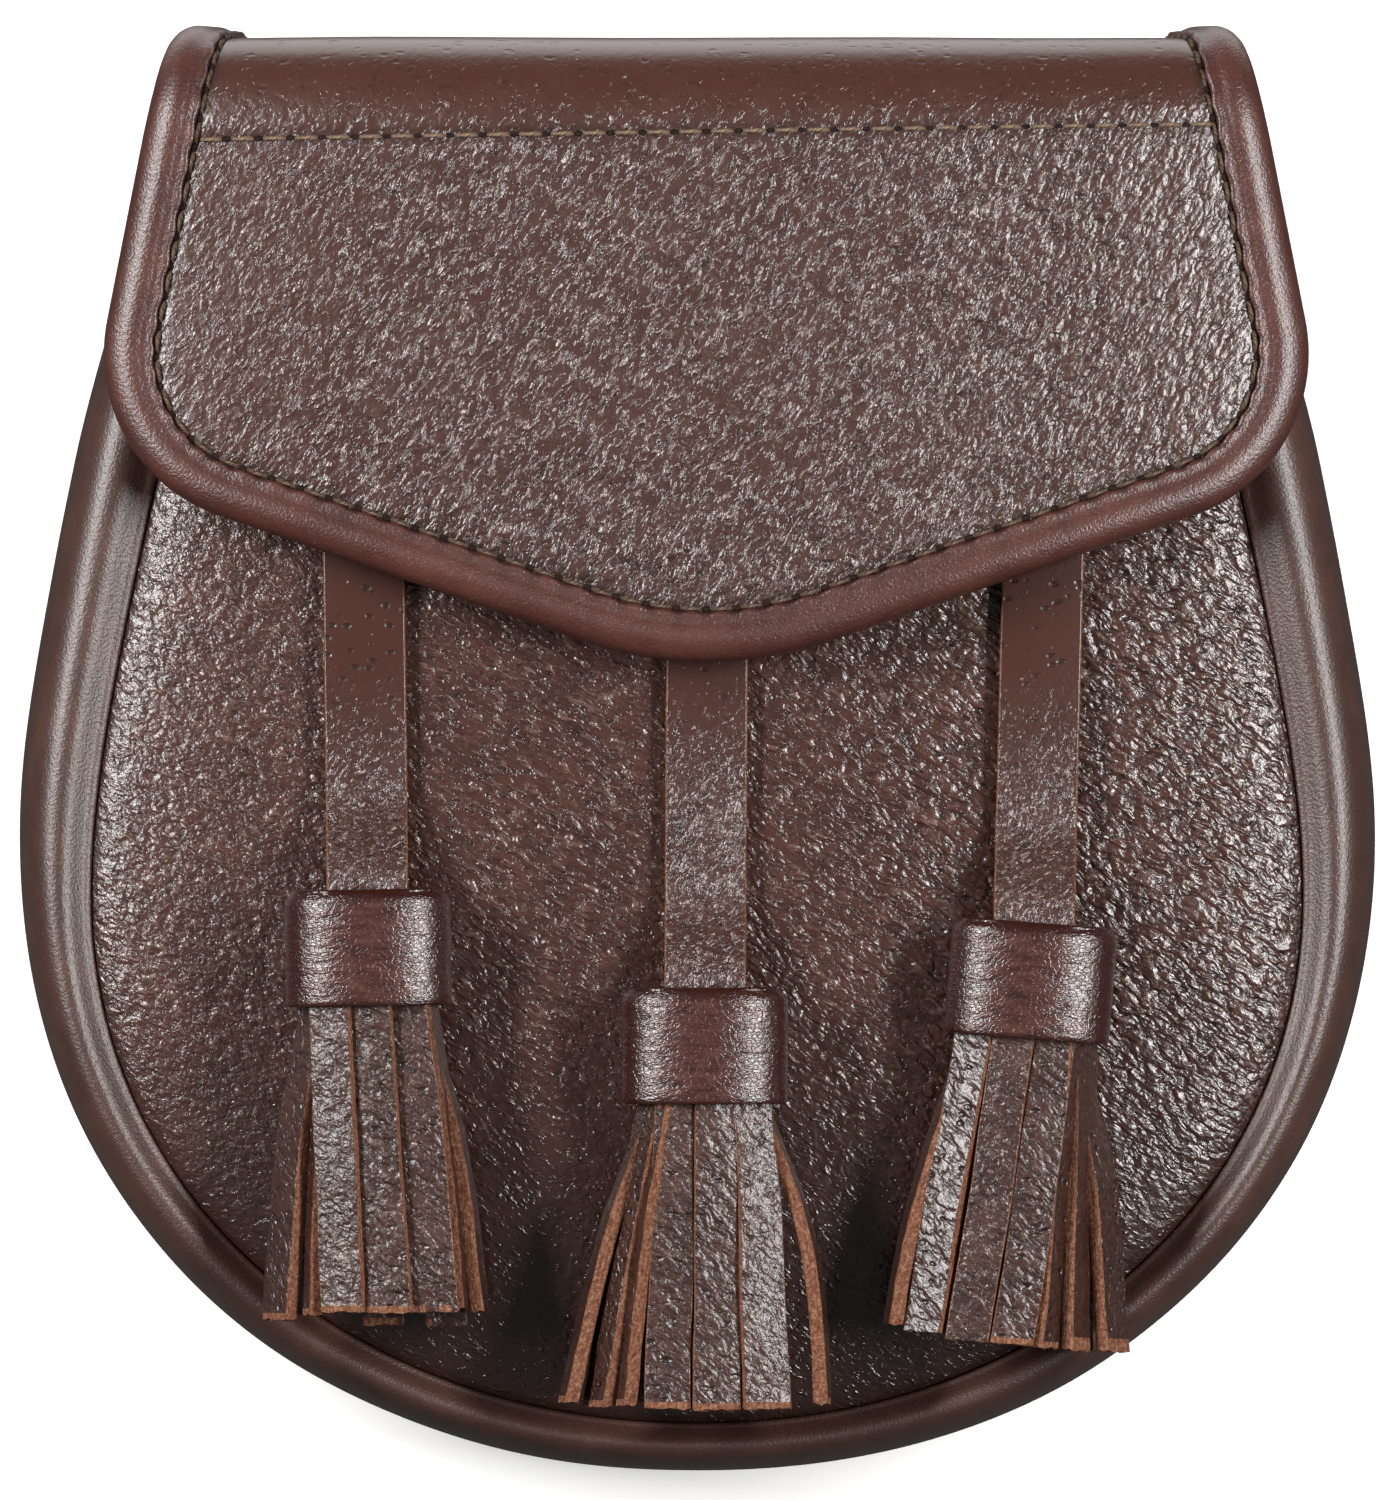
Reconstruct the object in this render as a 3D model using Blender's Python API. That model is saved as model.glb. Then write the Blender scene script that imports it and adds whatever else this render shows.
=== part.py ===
"""A day sporran pouch in brown leather, lying on its back as it does on a table.

+X points to its right, +Y to its top and +Z out of its front. The origin is the middle of
its footprint, on the surface that it lies on. Every length is in metres.
"""

import math
from collections import namedtuple

import bmesh
import bpy
from mathutils import Matrix, Vector

MM = 0.001
GAP = 0.3 * MM  # clear space kept between two pieces that touch

# The pouch seen from the front. The widest line lies a little below its middle.
BODY_HALF_WIDTH = 95.0 * MM
BODY_WIDEST_Y = -12.8 * MM
BODY_BELOW_WIDEST = 88.6 * MM
BODY_ROUNDNESS = 2.14
BODY_LEAN = 0.218
BODY_LEAN_START = 5.05 * MM
BODY_TUCK_START_Y = 40.0 * MM
BODY_TUCK = 3.0 * MM  # how far the top draws in behind the flap

# The seam between the side band and the front panel.
SEAM_HALF_WIDTH = 84.7 * MM
SEAM_WIDEST_Y = -20.5 * MM
SEAM_BELOW_WIDEST = 73.8 * MM
SEAM_ROUNDNESS = 2.07
SEAM_LEAN = 0.243
SEAM_LEAN_START = 6.5 * MM

# Depths, measured up from the surface that the pouch lies on.
BACK_SLOPE = 0.05  # the back falls away towards the top, where the belt loops fill the space
BACK_LOWEST_Y = -98.4 * MM
PANEL_WALL = 2.4 * MM
GUSSET_WALL = 2.0 * MM
GUSSET_CREST_Z = 34.0 * MM
GUSSET_TOP_Y = 84.0 * MM
SEAM_Z = 31.0 * MM
DOME_HEIGHT = 7.5 * MM
DOME_SQUARENESS = 2.6  # how squarely the dome's contours follow the seam
DOME_FLATNESS = 2.4  # how level its middle is
DOME_LOST_AT_MOUTH = 0.25
MOUTH_DIP = 12.0 * MM
BACK_TOP_Y = 87.0 * MM
BACK_RIM_INSET = 3.0 * MM
BACK_SHOULDERS = (Vector((2.0 * MM, 2.5 * MM)), Vector((6.0 * MM, 0)))  # in from a top corner

# The flap, as a flat shape measured from its tip before it is folded over the top.
FLAP_CENTRE_X = 1.3 * MM
FLAP_TIP_Y = 12.4 * MM
FLAP_WALL = 3.0 * MM
FLAP_FACE_Z = 47.0 * MM
FLAP_FOLD_Y = 85.6 * MM
FLAP_FOLD_RADIUS = 14.0 * MM
FLAP_TONGUE = 9.6 * MM
FLAP_SIDE_DROP = 7.0 * MM
FLAP_DROP_AT = 84.0 * MM
BINDING_WALL = 1.2 * MM

# Tassels.
STRAP_WIDTH = 11.4 * MM
STRAP_WALL = 2.2 * MM
CAP_HALF_WIDTH = 11.7 * MM
CAP_HALF_DEPTH = 6.8 * MM
CAP_HALF_HEIGHT = 8.15 * MM
CAP_ROUNDNESS = 2.7
CAP_WALL = 1.2 * MM
CAP_SIDES = 20
SLOT_GAP = 0.5 * MM  # clear space round the strap where it enters its cap
STRIP_WIDTH = 5.8 * MM
STRIP_WALL = 2.0 * MM

# Belt loops and the closing stud, both hidden from the front.
LOOP_WIDTH = 25.0 * MM
LOOP_WALL = 2.2 * MM
LOOP_CENTRE_X = 42.0 * MM
LOOP_FLAT_Y = (34.0 * MM, 60.0 * MM)
LOOP_RAMP = 6.0 * MM
LOOP_SEWN_END = 7.0 * MM
STUD_Y = 48.0 * MM
STUD_RADIUS = 7.0 * MM
STUD_POST_RADIUS = 3.5 * MM
STUD_RIM = 1.3 * MM
STUD_SIDES = 16

SIDE_STATIONS = 9
BOTTOM_STATIONS = 26


def clear_scene():
    for obj in list(bpy.data.objects):
        bpy.data.objects.remove(obj, do_unlink=True)


# --- Shapes of the pouch ---


def smooth(t):
    """0 to 1 with level ends."""
    t = min(1.0, max(0.0, t))
    return t * t * (3 - 2 * t)


def back_z(y):
    """Height of the back panel's outer face."""
    return BACK_SLOPE * (y - BACK_LOWEST_Y)


def leaning_half_width(above, half_width, lean, start):
    return half_width - (math.hypot(lean * above, start) - start)


def rounded_bottom(angle, half_width, widest_y, below, roundness):
    """A point of the superellipse below the widest line, from angle 0 at the right to pi at the left."""
    power = 2 / roundness
    across, down = math.cos(angle), max(0.0, math.sin(angle))
    x = half_width * math.copysign(abs(across) ** power, across)
    return Vector((x, widest_y - below * down**power))


def outline_pairs():
    """(outer edge, seam) points of the side band, from the top right round the bottom to the top left."""
    right = []
    for i in range(SIDE_STATIONS):
        part = i / SIDE_STATIONS
        y = GUSSET_TOP_Y + (BODY_WIDEST_Y - GUSSET_TOP_Y) * part
        x = leaning_half_width(y - BODY_WIDEST_Y, BODY_HALF_WIDTH, BODY_LEAN, BODY_LEAN_START)
        x -= BODY_TUCK * smooth((y - BODY_TUCK_START_Y) / (GUSSET_TOP_Y - BODY_TUCK_START_Y))
        seam_y = y + (SEAM_WIDEST_Y - BODY_WIDEST_Y) * part
        seam_x = leaning_half_width(
            seam_y - SEAM_WIDEST_Y, SEAM_HALF_WIDTH, SEAM_LEAN, SEAM_LEAN_START
        )
        right.append((Vector((x, y)), Vector((seam_x, seam_y))))
    bottom = []
    for i in range(BOTTOM_STATIONS + 1):
        angle = math.pi * i / BOTTOM_STATIONS
        outer = rounded_bottom(
            angle, BODY_HALF_WIDTH, BODY_WIDEST_Y, BODY_BELOW_WIDEST, BODY_ROUNDNESS
        )
        seam = rounded_bottom(
            angle, SEAM_HALF_WIDTH, SEAM_WIDEST_Y, SEAM_BELOW_WIDEST, SEAM_ROUNDNESS
        )
        bottom.append((outer, seam))
    left = [(mirrored(outer), mirrored(seam)) for outer, seam in reversed(right)]
    return right + bottom + left


def mirrored(point):
    return Vector((-point.x, point.y))


def seam_half_width(y):
    if y >= SEAM_WIDEST_Y:
        return leaning_half_width(y - SEAM_WIDEST_Y, SEAM_HALF_WIDTH, SEAM_LEAN, SEAM_LEAN_START)
    down = min(1.0, (SEAM_WIDEST_Y - y) / SEAM_BELOW_WIDEST)
    return SEAM_HALF_WIDTH * (1 - down**SEAM_ROUNDNESS) ** (1 / SEAM_ROUNDNESS)


def front_z(x, y):
    """Height of the front panel's outer face: a dome that rises steeply from its seam."""
    half_width = max(seam_half_width(y), 1e-6)
    across = min(1.0, abs(x) / half_width)
    down = min(1.0, max(0.0, (SEAM_WIDEST_Y - y) / SEAM_BELOW_WIDEST))
    squareness = DOME_SQUARENESS
    radius = min(1.0, (across**squareness + down**squareness) ** (1 / squareness))
    towards_mouth = smooth((y - SEAM_WIDEST_Y) / (GUSSET_TOP_Y - SEAM_WIDEST_Y))
    height = DOME_HEIGHT * (1 - DOME_LOST_AT_MOUTH * towards_mouth)
    return SEAM_Z + height * math.sqrt(1 - radius**DOME_FLATNESS)


# --- Mesh helpers ---


def offset_line(points, distance):
    """An open 2-D line moved to its right by distance, with mitred corners."""
    moved = []
    for i, point in enumerate(points):
        normals = []
        for start, end in ((i - 1, i), (i, i + 1)):
            if start >= 0 and end < len(points):
                along = (points[end] - points[start]).normalized()
                normals.append(Vector((along.y, -along.x)))
        middle = sum(normals, Vector((0, 0))).normalized()
        moved.append(point + middle * (distance / middle.dot(normals[0])))
    return moved


def loft(rings):
    """A closed skin through rings of equally many points, with a face over each end."""
    bm = bmesh.new()
    loops = [[bm.verts.new(point) for point in ring] for ring in rings]
    for near, far in zip(loops, loops[1:]):
        for i in range(len(near)):
            j = (i + 1) % len(near)
            bm.faces.new((near[i], near[j], far[j], far[i]))
    bm.faces.new(loops[0])
    bm.faces.new(loops[-1])
    return bm


def sheet(front, back):
    """A closed wall between two grids of points. Points of a grid may meet at one place."""
    bm = bmesh.new()
    sides = [[[bm.verts.new(point) for point in row] for row in grid] for grid in (front, back)]
    rows, columns = len(front), len(front[0])
    for grid in sides:
        for i in range(rows - 1):
            for j in range(columns - 1):
                bm.faces.new((grid[i][j], grid[i][j + 1], grid[i + 1][j + 1], grid[i + 1][j]))
    rim = [(0, j) for j in range(columns)] + [(i, columns - 1) for i in range(1, rows)]
    rim += [(rows - 1, j) for j in range(columns - 2, -1, -1)]
    rim += [(i, 0) for i in range(rows - 2, 0, -1)]
    face, reverse = sides
    for (i, j), (k, m) in zip(rim, rim[1:] + rim[:1]):
        bm.faces.new((face[i][j], face[k][m], reverse[k][m], reverse[i][j]))
    bmesh.ops.remove_doubles(bm, verts=bm.verts, dist=1e-6)
    bmesh.ops.dissolve_degenerate(bm, edges=bm.edges, dist=1e-6)
    return bm


def add_piece(name, bm, material, smooth_below=35):
    """Makes a named object of the shape, with its faces outwards."""
    bmesh.ops.recalc_face_normals(bm, faces=bm.faces)
    mesh = bpy.data.meshes.new(name)
    bm.to_mesh(mesh)
    bm.free()
    mesh.materials.append(material)
    mesh.shade_smooth()
    mesh.set_sharp_from_angle(angle=math.radians(smooth_below))
    obj = bpy.data.objects.new(name, mesh)
    bpy.context.scene.collection.objects.link(obj)
    return obj


def add_cutter(name, bm):
    """A helper shape that Booleans read and that isn't a piece itself."""
    cutter = add_piece(name, bm, bpy.data.materials["bridle_leather"])
    cutter.hide_render = True
    cutter.display_type = "WIRE"
    return cutter


def leather(name, red, green, blue, roughness):
    material = bpy.data.materials.new(name)
    material.use_nodes = True
    shader = material.node_tree.nodes["Principled BSDF"]
    shader.inputs["Base Color"].default_value = (red, green, blue, 1)
    shader.inputs["Roughness"].default_value = roughness
    shader.inputs["Metallic"].default_value = 0
    return material


# --- The pouch's body ---


def make_back_panel(material):
    """The flat back: the outline a little inside the side band, closed by a straight top."""
    pairs = outline_pairs()
    outline = []
    for outer, seam in pairs:
        outline.append(outer + (seam - outer).normalized() * BACK_RIM_INSET)
    corner = Vector((outline[0].x, BACK_TOP_Y))
    shoulder = [corner - place for place in BACK_SHOULDERS]
    outline = outline + [mirrored(point) for point in shoulder] + shoulder[::-1]
    rings = []
    for lift in (0, PANEL_WALL):
        rings.append([Vector((p.x, p.y, back_z(p.y) + lift)) for p in outline])
    add_piece("back_panel", loft(rings), material)


RollPoint = namedtuple("RollPoint", "across rise")

# The puffy roll from the back to the seam: across is 0 at the outer edge and 1 at the seam,
# and rise is 0 at the back flange and 1 at the crest.
GUSSET_ROLL = (
    RollPoint(0.42, 0.00),
    RollPoint(0.20, 0.04),
    RollPoint(0.05, 0.18),
    RollPoint(0.00, 0.42),
    RollPoint(0.04, 0.68),
    RollPoint(0.16, 0.86),
    RollPoint(0.36, 0.965),
    RollPoint(0.58, 1.00),
    RollPoint(0.80, 0.975),
    RollPoint(0.95, 0.92),
)
GUSSET_CREASE_Z = 30.8 * MM
GUSSET_FLANGE = 5.0 * MM


def gusset_section(width, y):
    """The closed section of the side band, as (distance in from the outer edge, height)."""
    low = back_z(y) + PANEL_WALL + 1.5 * GAP
    flange_z = SEAM_Z - PANEL_WALL - GAP
    outer = [Vector((width + GUSSET_FLANGE / 2, low))]
    for point in GUSSET_ROLL:
        outer.append(Vector((width * point.across, low + (GUSSET_CREST_Z - low) * point.rise)))
    outer.append(Vector((width, GUSSET_CREASE_Z)))
    outer.append(Vector((width, flange_z)))
    outer.append(Vector((width + GUSSET_FLANGE, flange_z)))
    return outer + offset_line(outer, GUSSET_WALL)[::-1]


def make_gusset(material):
    rings = []
    for outer, seam in outline_pairs():
        inwards = (seam - outer).normalized()
        ring = []
        for inset, z in gusset_section((seam - outer).length, outer.y):
            place = outer + inwards * inset
            near_back = (GUSSET_CREST_Z - z) / (GUSSET_CREST_Z - back_z(outer.y))
            z += (back_z(place.y) - back_z(outer.y)) * near_back
            ring.append(Vector((place.x, place.y, z)))
        rings.append(ring)
    add_piece("gusset", loft(rings), material, smooth_below=50)


PANEL_RINGS = (1.0, 0.98, 0.94, 0.87, 0.74, 0.52, 0.26)
PANEL_MIDDLE = Vector((0.0, -8.0 * MM))
MOUTH_POINTS = 12


def make_front_panel(material):
    """The domed front: rings that close in from the seam and the mouth to the middle."""
    seam = offset_line([seam for _, seam in outline_pairs()], GAP)
    left, right = seam[-1], seam[0]
    mouth = []
    for i in range(1, MOUTH_POINTS):
        part = i / MOUTH_POINTS
        dip = MOUTH_DIP * math.sin(math.pi * part) ** 1.5
        mouth.append(Vector((left.x + (right.x - left.x) * part, left.y - dip)))
    outline = seam + mouth
    count = len(outline)
    bm = bmesh.new()
    edges = []
    for down in (0, PANEL_WALL):
        rings = []
        for reach in PANEL_RINGS:
            ring = []
            for point in outline:
                place = PANEL_MIDDLE.lerp(point, reach)
                ring.append(bm.verts.new((place.x, place.y, front_z(*place) - down)))
            rings.append(ring)
        middle = bm.verts.new((*PANEL_MIDDLE, front_z(*PANEL_MIDDLE) - down))
        for near, far in zip(rings, rings[1:]):
            for i in range(count):
                j = (i + 1) % count
                bm.faces.new((near[i], near[j], far[j], far[i]))
        for i in range(count):
            bm.faces.new((rings[-1][i], rings[-1][(i + 1) % count], middle))
        edges.append(rings[0])
    face, inner = edges
    for i in range(count):
        j = (i + 1) % count
        bm.faces.new((face[i], face[j], inner[j], inner[i]))
    add_piece("front_panel", bm, material)


# --- The flap ---

FLAP_FRONT = FLAP_FOLD_Y - FLAP_TIP_Y
FOLD_LENGTH = FLAP_FOLD_RADIUS * math.pi / 2
FLAP_BACK_Z = back_z(FLAP_FOLD_Y) - GAP - FLAP_WALL
FOLD_STRAIGHT = FLAP_FACE_Z - FLAP_BACK_Z - 2 * FLAP_FOLD_RADIUS
FLAP_LENGTH = FLAP_FRONT + 2 * FOLD_LENGTH + FOLD_STRAIGHT + FLAP_TONGUE

Corner = namedtuple("Corner", "half_width from_tip radius")

# The binding's outer edge before folding, one side of it from the sewn end to the tip.
FLAP_CORNERS = (
    Corner(71.5 * MM, FLAP_LENGTH, 0),
    Corner(71.5 * MM, 110.0 * MM, 60.0 * MM),
    Corner(87.8 * MM, 27.0 * MM, 24.0 * MM),
    Corner(0.0, -3.4 * MM, 54.0 * MM),
)


def flap_point(x, s, lift):
    """The place of a point of the flap, s from its tip, lifted off its middle surface."""
    lift += FLAP_WALL / -2
    top_of_arc = FLAP_FACE_Z - FLAP_FOLD_RADIUS
    foot_of_arc = FLAP_BACK_Z + FLAP_FOLD_RADIUS
    over = s - FLAP_FRONT
    if over <= 0:
        y, z = FLAP_TIP_Y + s, FLAP_FACE_Z + lift
    elif over <= FOLD_LENGTH:
        angle = math.pi / 2 - over / FLAP_FOLD_RADIUS
        y = FLAP_FOLD_Y + (FLAP_FOLD_RADIUS + lift) * math.cos(angle)
        z = top_of_arc + (FLAP_FOLD_RADIUS + lift) * math.sin(angle)
    elif over <= FOLD_LENGTH + FOLD_STRAIGHT:
        y = FLAP_FOLD_Y + FLAP_FOLD_RADIUS + lift
        z = top_of_arc - (over - FOLD_LENGTH)
    elif over <= 2 * FOLD_LENGTH + FOLD_STRAIGHT:
        angle = -(over - FOLD_LENGTH - FOLD_STRAIGHT) / FLAP_FOLD_RADIUS
        y = FLAP_FOLD_Y + (FLAP_FOLD_RADIUS + lift) * math.cos(angle)
        z = foot_of_arc + (FLAP_FOLD_RADIUS + lift) * math.sin(angle)
    else:
        past = over - 2 * FOLD_LENGTH - FOLD_STRAIGHT
        y = FLAP_FOLD_Y - past
        z = FLAP_BACK_Z - lift - BACK_SLOPE * past
    drop = FLAP_SIDE_DROP * (abs(x) / FLAP_DROP_AT) ** 3 / (FLAP_FACE_Z - FLAP_BACK_Z)
    z = FLAP_BACK_Z + (z - FLAP_BACK_Z) * (1 - drop)
    return Vector((FLAP_CENTRE_X + x, y, z))


def filleted(corners, turn_step):
    """The line through corners, each rounded by its radius in steps of turn_step."""
    line = [Vector(corners[0][:2])]
    for before, corner, after in zip(corners, corners[1:], corners[2:]):
        vertex = Vector(corner[:2])
        back = (Vector(before[:2]) - vertex).normalized()
        ahead = (Vector(after[:2]) - vertex).normalized()
        turn = math.pi - back.angle(ahead)
        tangent = corner.radius * math.tan(turn / 2)
        steps = max(1, round(turn / turn_step))
        start, end = vertex + back * tangent, vertex + ahead * tangent
        centre = vertex + (back + ahead).normalized() * (corner.radius / math.cos(turn / 2))
        for i in range(steps + 1):
            angle = turn * i / steps
            swept = (start - centre) * math.sin(turn - angle) + (end - centre) * math.sin(angle)
            line.append(centre + swept / math.sin(turn))
    return line


def flap_outline(turn_step):
    """The outer edge from the right sewn end round the tip to the left sewn end."""
    right = list(FLAP_CORNERS)
    mirrored_side = [Corner(-c.half_width, c.from_tip, c.radius) for c in right[-2::-1]]
    corners = right + mirrored_side
    return filleted(corners, turn_step) + [Vector(corners[-1][:2])]


def refined(line, longest):
    """The line with points added so that no stretch is longer than longest."""
    points = [line[0]]
    for start, end in zip(line, line[1:]):
        steps = max(1, math.ceil((end - start).length / longest))
        points += [start.lerp(end, i / steps) for i in range(1, steps + 1)]
    return points


def along_line(line, height):
    """The x of the side of the flap at this distance from the tip."""
    height = min(height, line[0].y)
    for start, end in zip(line, line[1:]):
        if start.y >= height >= end.y:
            return start.lerp(end, (start.y - height) / max(start.y - end.y, 1e-9)).x
    return line[-1].x


FLAP_SHORT_ROWS = (0.0, 0.34, 0.67)
FLAP_FACE_ROWS = (50.0 * MM, 62.0 * MM)
FLAP_LOWER_COLUMNS = 9


def fold_rows():
    """Distances from the tip of the rows across the flap, closer together round the fold."""
    rows = list(FLAP_FACE_ROWS)
    for start, length, steps in (
        (FLAP_FRONT, FOLD_LENGTH, 4),
        (FLAP_FRONT + FOLD_LENGTH, FOLD_STRAIGHT, 1),
        (FLAP_FRONT + FOLD_LENGTH + FOLD_STRAIGHT, FOLD_LENGTH, 4),
    ):
        rows += [start + length * i / steps for i in range(steps)]
    return rows + [FLAP_LENGTH - FLAP_TONGUE, FLAP_LENGTH]


def make_flap(material):
    """One leather sheet: a grid that follows the blunt point and folds over the top."""
    inset = BINDING_WALL + GAP
    outline = offset_line(flap_outline(math.radians(8)), inset)
    outline[0].y = outline[-1].y = FLAP_LENGTH
    right = [point for point in outline if point.x >= -1e-9]
    turn_at = max(range(len(right)), key=lambda i: right[i].x - right[i].y)
    side, lower = right[: turn_at + 1], right[turn_at:][::-1]
    lower[0] = Vector((0.0, lower[0].y))
    edge = []
    length = sum((b - a).length for a, b in zip(lower, lower[1:]))
    for column in range(FLAP_LOWER_COLUMNS + 1):
        wanted, walked = length * column / FLAP_LOWER_COLUMNS, 0.0
        for start, end in zip(lower, lower[1:]):
            step = (end - start).length
            if wanted <= walked + step + 1e-12:
                edge.append(start.lerp(end, min(1.0, (wanted - walked) / step)))
                break
            walked += step
    edge[-1] = side[-1]
    widest, tip_s, first_full = edge[-1].x, edge[0].y, fold_rows()[0]
    front, back = [], []
    plan = [("short", part) for part in FLAP_SHORT_ROWS] + [("full", s) for s in fold_rows()]
    for kind, value in plan:
        part = value if kind == "short" else 1.0
        side_s = edge[-1].y + (first_full - edge[-1].y) * part if kind == "short" else value
        middle_s = tip_s + (first_full - tip_s) * part if kind == "short" else value
        half_width = along_line(side, side_s) if side_s > edge[-1].y else widest
        outer_row, inner_row = [], []
        for column in range(-FLAP_LOWER_COLUMNS, FLAP_LOWER_COLUMNS + 1):
            corner = edge[abs(column)]
            across = corner.x / widest
            straight = tip_s + (edge[-1].y - tip_s) * across
            s = middle_s + (side_s - middle_s) * across + (corner.y - straight) * (1 - part)
            x = math.copysign(half_width * across, column)
            outer_row.append(flap_point(x, s, FLAP_WALL / 2))
            inner_row.append(flap_point(x, s, FLAP_WALL / -2))
        front.append(outer_row)
        back.append(inner_row)
    add_piece("flap", sheet(front, back), material, smooth_below=30)


BindingPoint = namedtuple("BindingPoint", "inward lift")

# Section of the binding: inward from its outer edge, and lift off the flap's middle surface.
BINDING_ROLL = (
    BindingPoint(6.9 * MM, 1.9 * MM),
    BindingPoint(5.9 * MM, 2.8 * MM),
    BindingPoint(3.6 * MM, 3.3 * MM),
    BindingPoint(1.2 * MM, 2.6 * MM),
    BindingPoint(0.0, 1.0 * MM),
    BindingPoint(0.0, -1.0 * MM),
    BindingPoint(1.2 * MM, -2.5 * MM),
    BindingPoint(3.6 * MM, -2.9 * MM),
    BindingPoint(6.4 * MM, -2.5 * MM),
    BindingPoint(6.6 * MM, -1.8 * MM),
    BindingPoint(1.2 * MM, -1.8 * MM),
    BindingPoint(1.2 * MM, 1.8 * MM),
    BindingPoint(6.9 * MM, 1.8 * MM),
)
BINDING_LONGEST = 13.0 * MM


def make_flap_binding(material):
    """A strip wrapped round the flap's edge, ending on both sides where the fold meets the back."""
    outline = flap_outline(math.radians(15))
    round_the_fold = []
    for s in fold_rows():
        if FLAP_FRONT <= s < FLAP_LENGTH - FLAP_TONGUE:
            round_the_fold.append(Vector((along_line(outline, s), s)))
    path = round_the_fold[::-1]
    path += [p for p in refined(outline, BINDING_LONGEST) if p.y < FLAP_FRONT - 2 * MM]
    path += [mirrored(point) for point in round_the_fold]
    insets = [offset_line(path, point.inward) for point in BINDING_ROLL]
    rings = []
    for station in range(len(path)):
        ring = []
        for point, moved in zip(BINDING_ROLL, insets):
            ring.append(flap_point(moved[station].x, moved[station].y, point.lift))
        rings.append(ring)
    add_piece("flap_binding", loft(rings), material, smooth_below=50)


# --- Tassels ---

Strip = namedtuple("Strip", "root foot turn lift foot_lift bow length")
Tassel = namedtuple("Tassel", "side strap_x cap_x cap_y lean strap_top_y strips")

# Strips across the fringe, in the cap's own frame: root and foot are the middle of the strip
# at the cap's mouth and at its cut end, turn is 0 for a strip that faces the front, and lift
# is measured from the middle of the cap. Lengths in millimetres, angles in degrees.
LEFT_STRIPS = (
    Strip(-8.0, -13.2, -52, -0.6, -1.5, 0.6, 43.6),
    Strip(-7.0, -9.0, -70, 0.8, -0.8, 0.0, 43.0),
    Strip(-5.6, -4.0, -4, 3.6, 3.4, 0.0, 42.6),
    Strip(0.4, 2.0, 0, 4.0, 3.7, 0.0, 42.8),
    Strip(6.0, 8.9, 5, 3.4, 3.2, 0.0, 42.8),
    Strip(8.2, 12.6, 78, 0.4, 0.2, 0.4, 42.4),
    Strip(8.2, 15.0, 82, -1.2, -1.6, 0.8, 42.9),
    Strip(-5.6, -8.4, 180, -3.8, -4.4, 0.0, 42.8),
    Strip(0.6, 1.4, 180, -4.0, -4.6, 0.0, 44.6),
    Strip(6.2, 10.0, 180, -3.8, -4.4, 0.0, 44.8),
)
MIDDLE_STRIPS = (
    Strip(-8.0, -19.2, -80, -0.9, -1.2, 0.8, 41.6),
    Strip(-7.2, -15.0, -58, 1.8, 0.4, 0.4, 42.2),
    Strip(-6.6, -11.6, -66, 2.8, 1.6, 0.2, 42.0),
    Strip(-4.4, -5.2, 0, 4.0, 3.8, 0.0, 42.4),
    Strip(1.4, 1.6, 0, 4.2, 3.9, 0.0, 42.6),
    Strip(7.2, 8.6, 0, 3.4, 3.4, 0.0, 42.4),
    Strip(8.3, 16.4, 84, -0.4, -0.6, 2.4, 41.8),
    Strip(-5.8, -10.0, 180, -3.6, -4.4, 0.0, 41.6),
    Strip(0.4, -1.0, 180, -4.0, -4.6, 0.0, 42.0),
    Strip(6.4, 8.0, 180, -3.6, -4.4, 0.0, 42.0),
)
RIGHT_STRIPS = (
    Strip(-8.2, -15.8, -80, -0.8, -1.2, 0.8, 41.2),
    Strip(-7.2, -11.2, -22, 2.6, 2.2, 0.0, 41.8),
    Strip(-1.8, -4.7, 0, 4.0, 3.8, 0.0, 42.6),
    Strip(4.2, 1.2, 0, 4.0, 3.8, 0.0, 42.6),
    Strip(7.2, 6.2, 58, 2.0, 1.4, 0.0, 42.8),
    Strip(8.2, 10.6, 44, 0.2, -0.4, 0.0, 42.8),
    Strip(8.0, 15.6, 56, -2.2, -2.4, 0.4, 42.6),
    Strip(-5.8, -9.6, 180, -3.8, -4.4, 0.0, 41.4),
    Strip(0.2, -1.6, 180, -4.0, -4.6, 0.0, 42.0),
    Strip(5.6, 6.6, 180, -4.2, -4.8, 0.0, 42.0),
)
TASSELS = (
    Tassel("left", -46.7 * MM, -45.9 * MM, -27.7 * MM, 0.9, 36.0 * MM, LEFT_STRIPS),
    Tassel("middle", 1.5 * MM, 1.1 * MM, -41.4 * MM, 0.0, 30.0 * MM, MIDDLE_STRIPS),
    Tassel("right", 48.6 * MM, 46.6 * MM, -32.3 * MM, -4.5, 36.0 * MM, RIGHT_STRIPS),
)
CAP_CLEARANCE = 0.5 * MM
STRAP_INTO_CAP = 3.2 * MM
STRAP_RISE_LENGTH = 15.0 * MM
STRAP_STATIONS = 12
STRIP_STATIONS = 5
STRIP_ROOT_PARTS = (-0.1, 0.02)  # where a strip starts inside the head, and where it leaves it
STRIP_FREE_FROM = 0.05  # part of a strip's length that the cap holds together
STRIP_FREE_BY = 0.4
HEAD_TOP = 3.8 * MM
HEAD_FOOT = 6.6 * MM


def cap_base_z(tassel):
    """Height of the cap's underside, clear of the front panel under all of it."""
    reach = (-CAP_HALF_WIDTH, 0, CAP_HALF_WIDTH)
    rise = (-CAP_HALF_HEIGHT, 0, CAP_HALF_HEIGHT)
    return CAP_CLEARANCE + max(
        front_z(tassel.cap_x + dx, tassel.cap_y + dy) for dx in reach for dy in rise
    )


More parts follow.
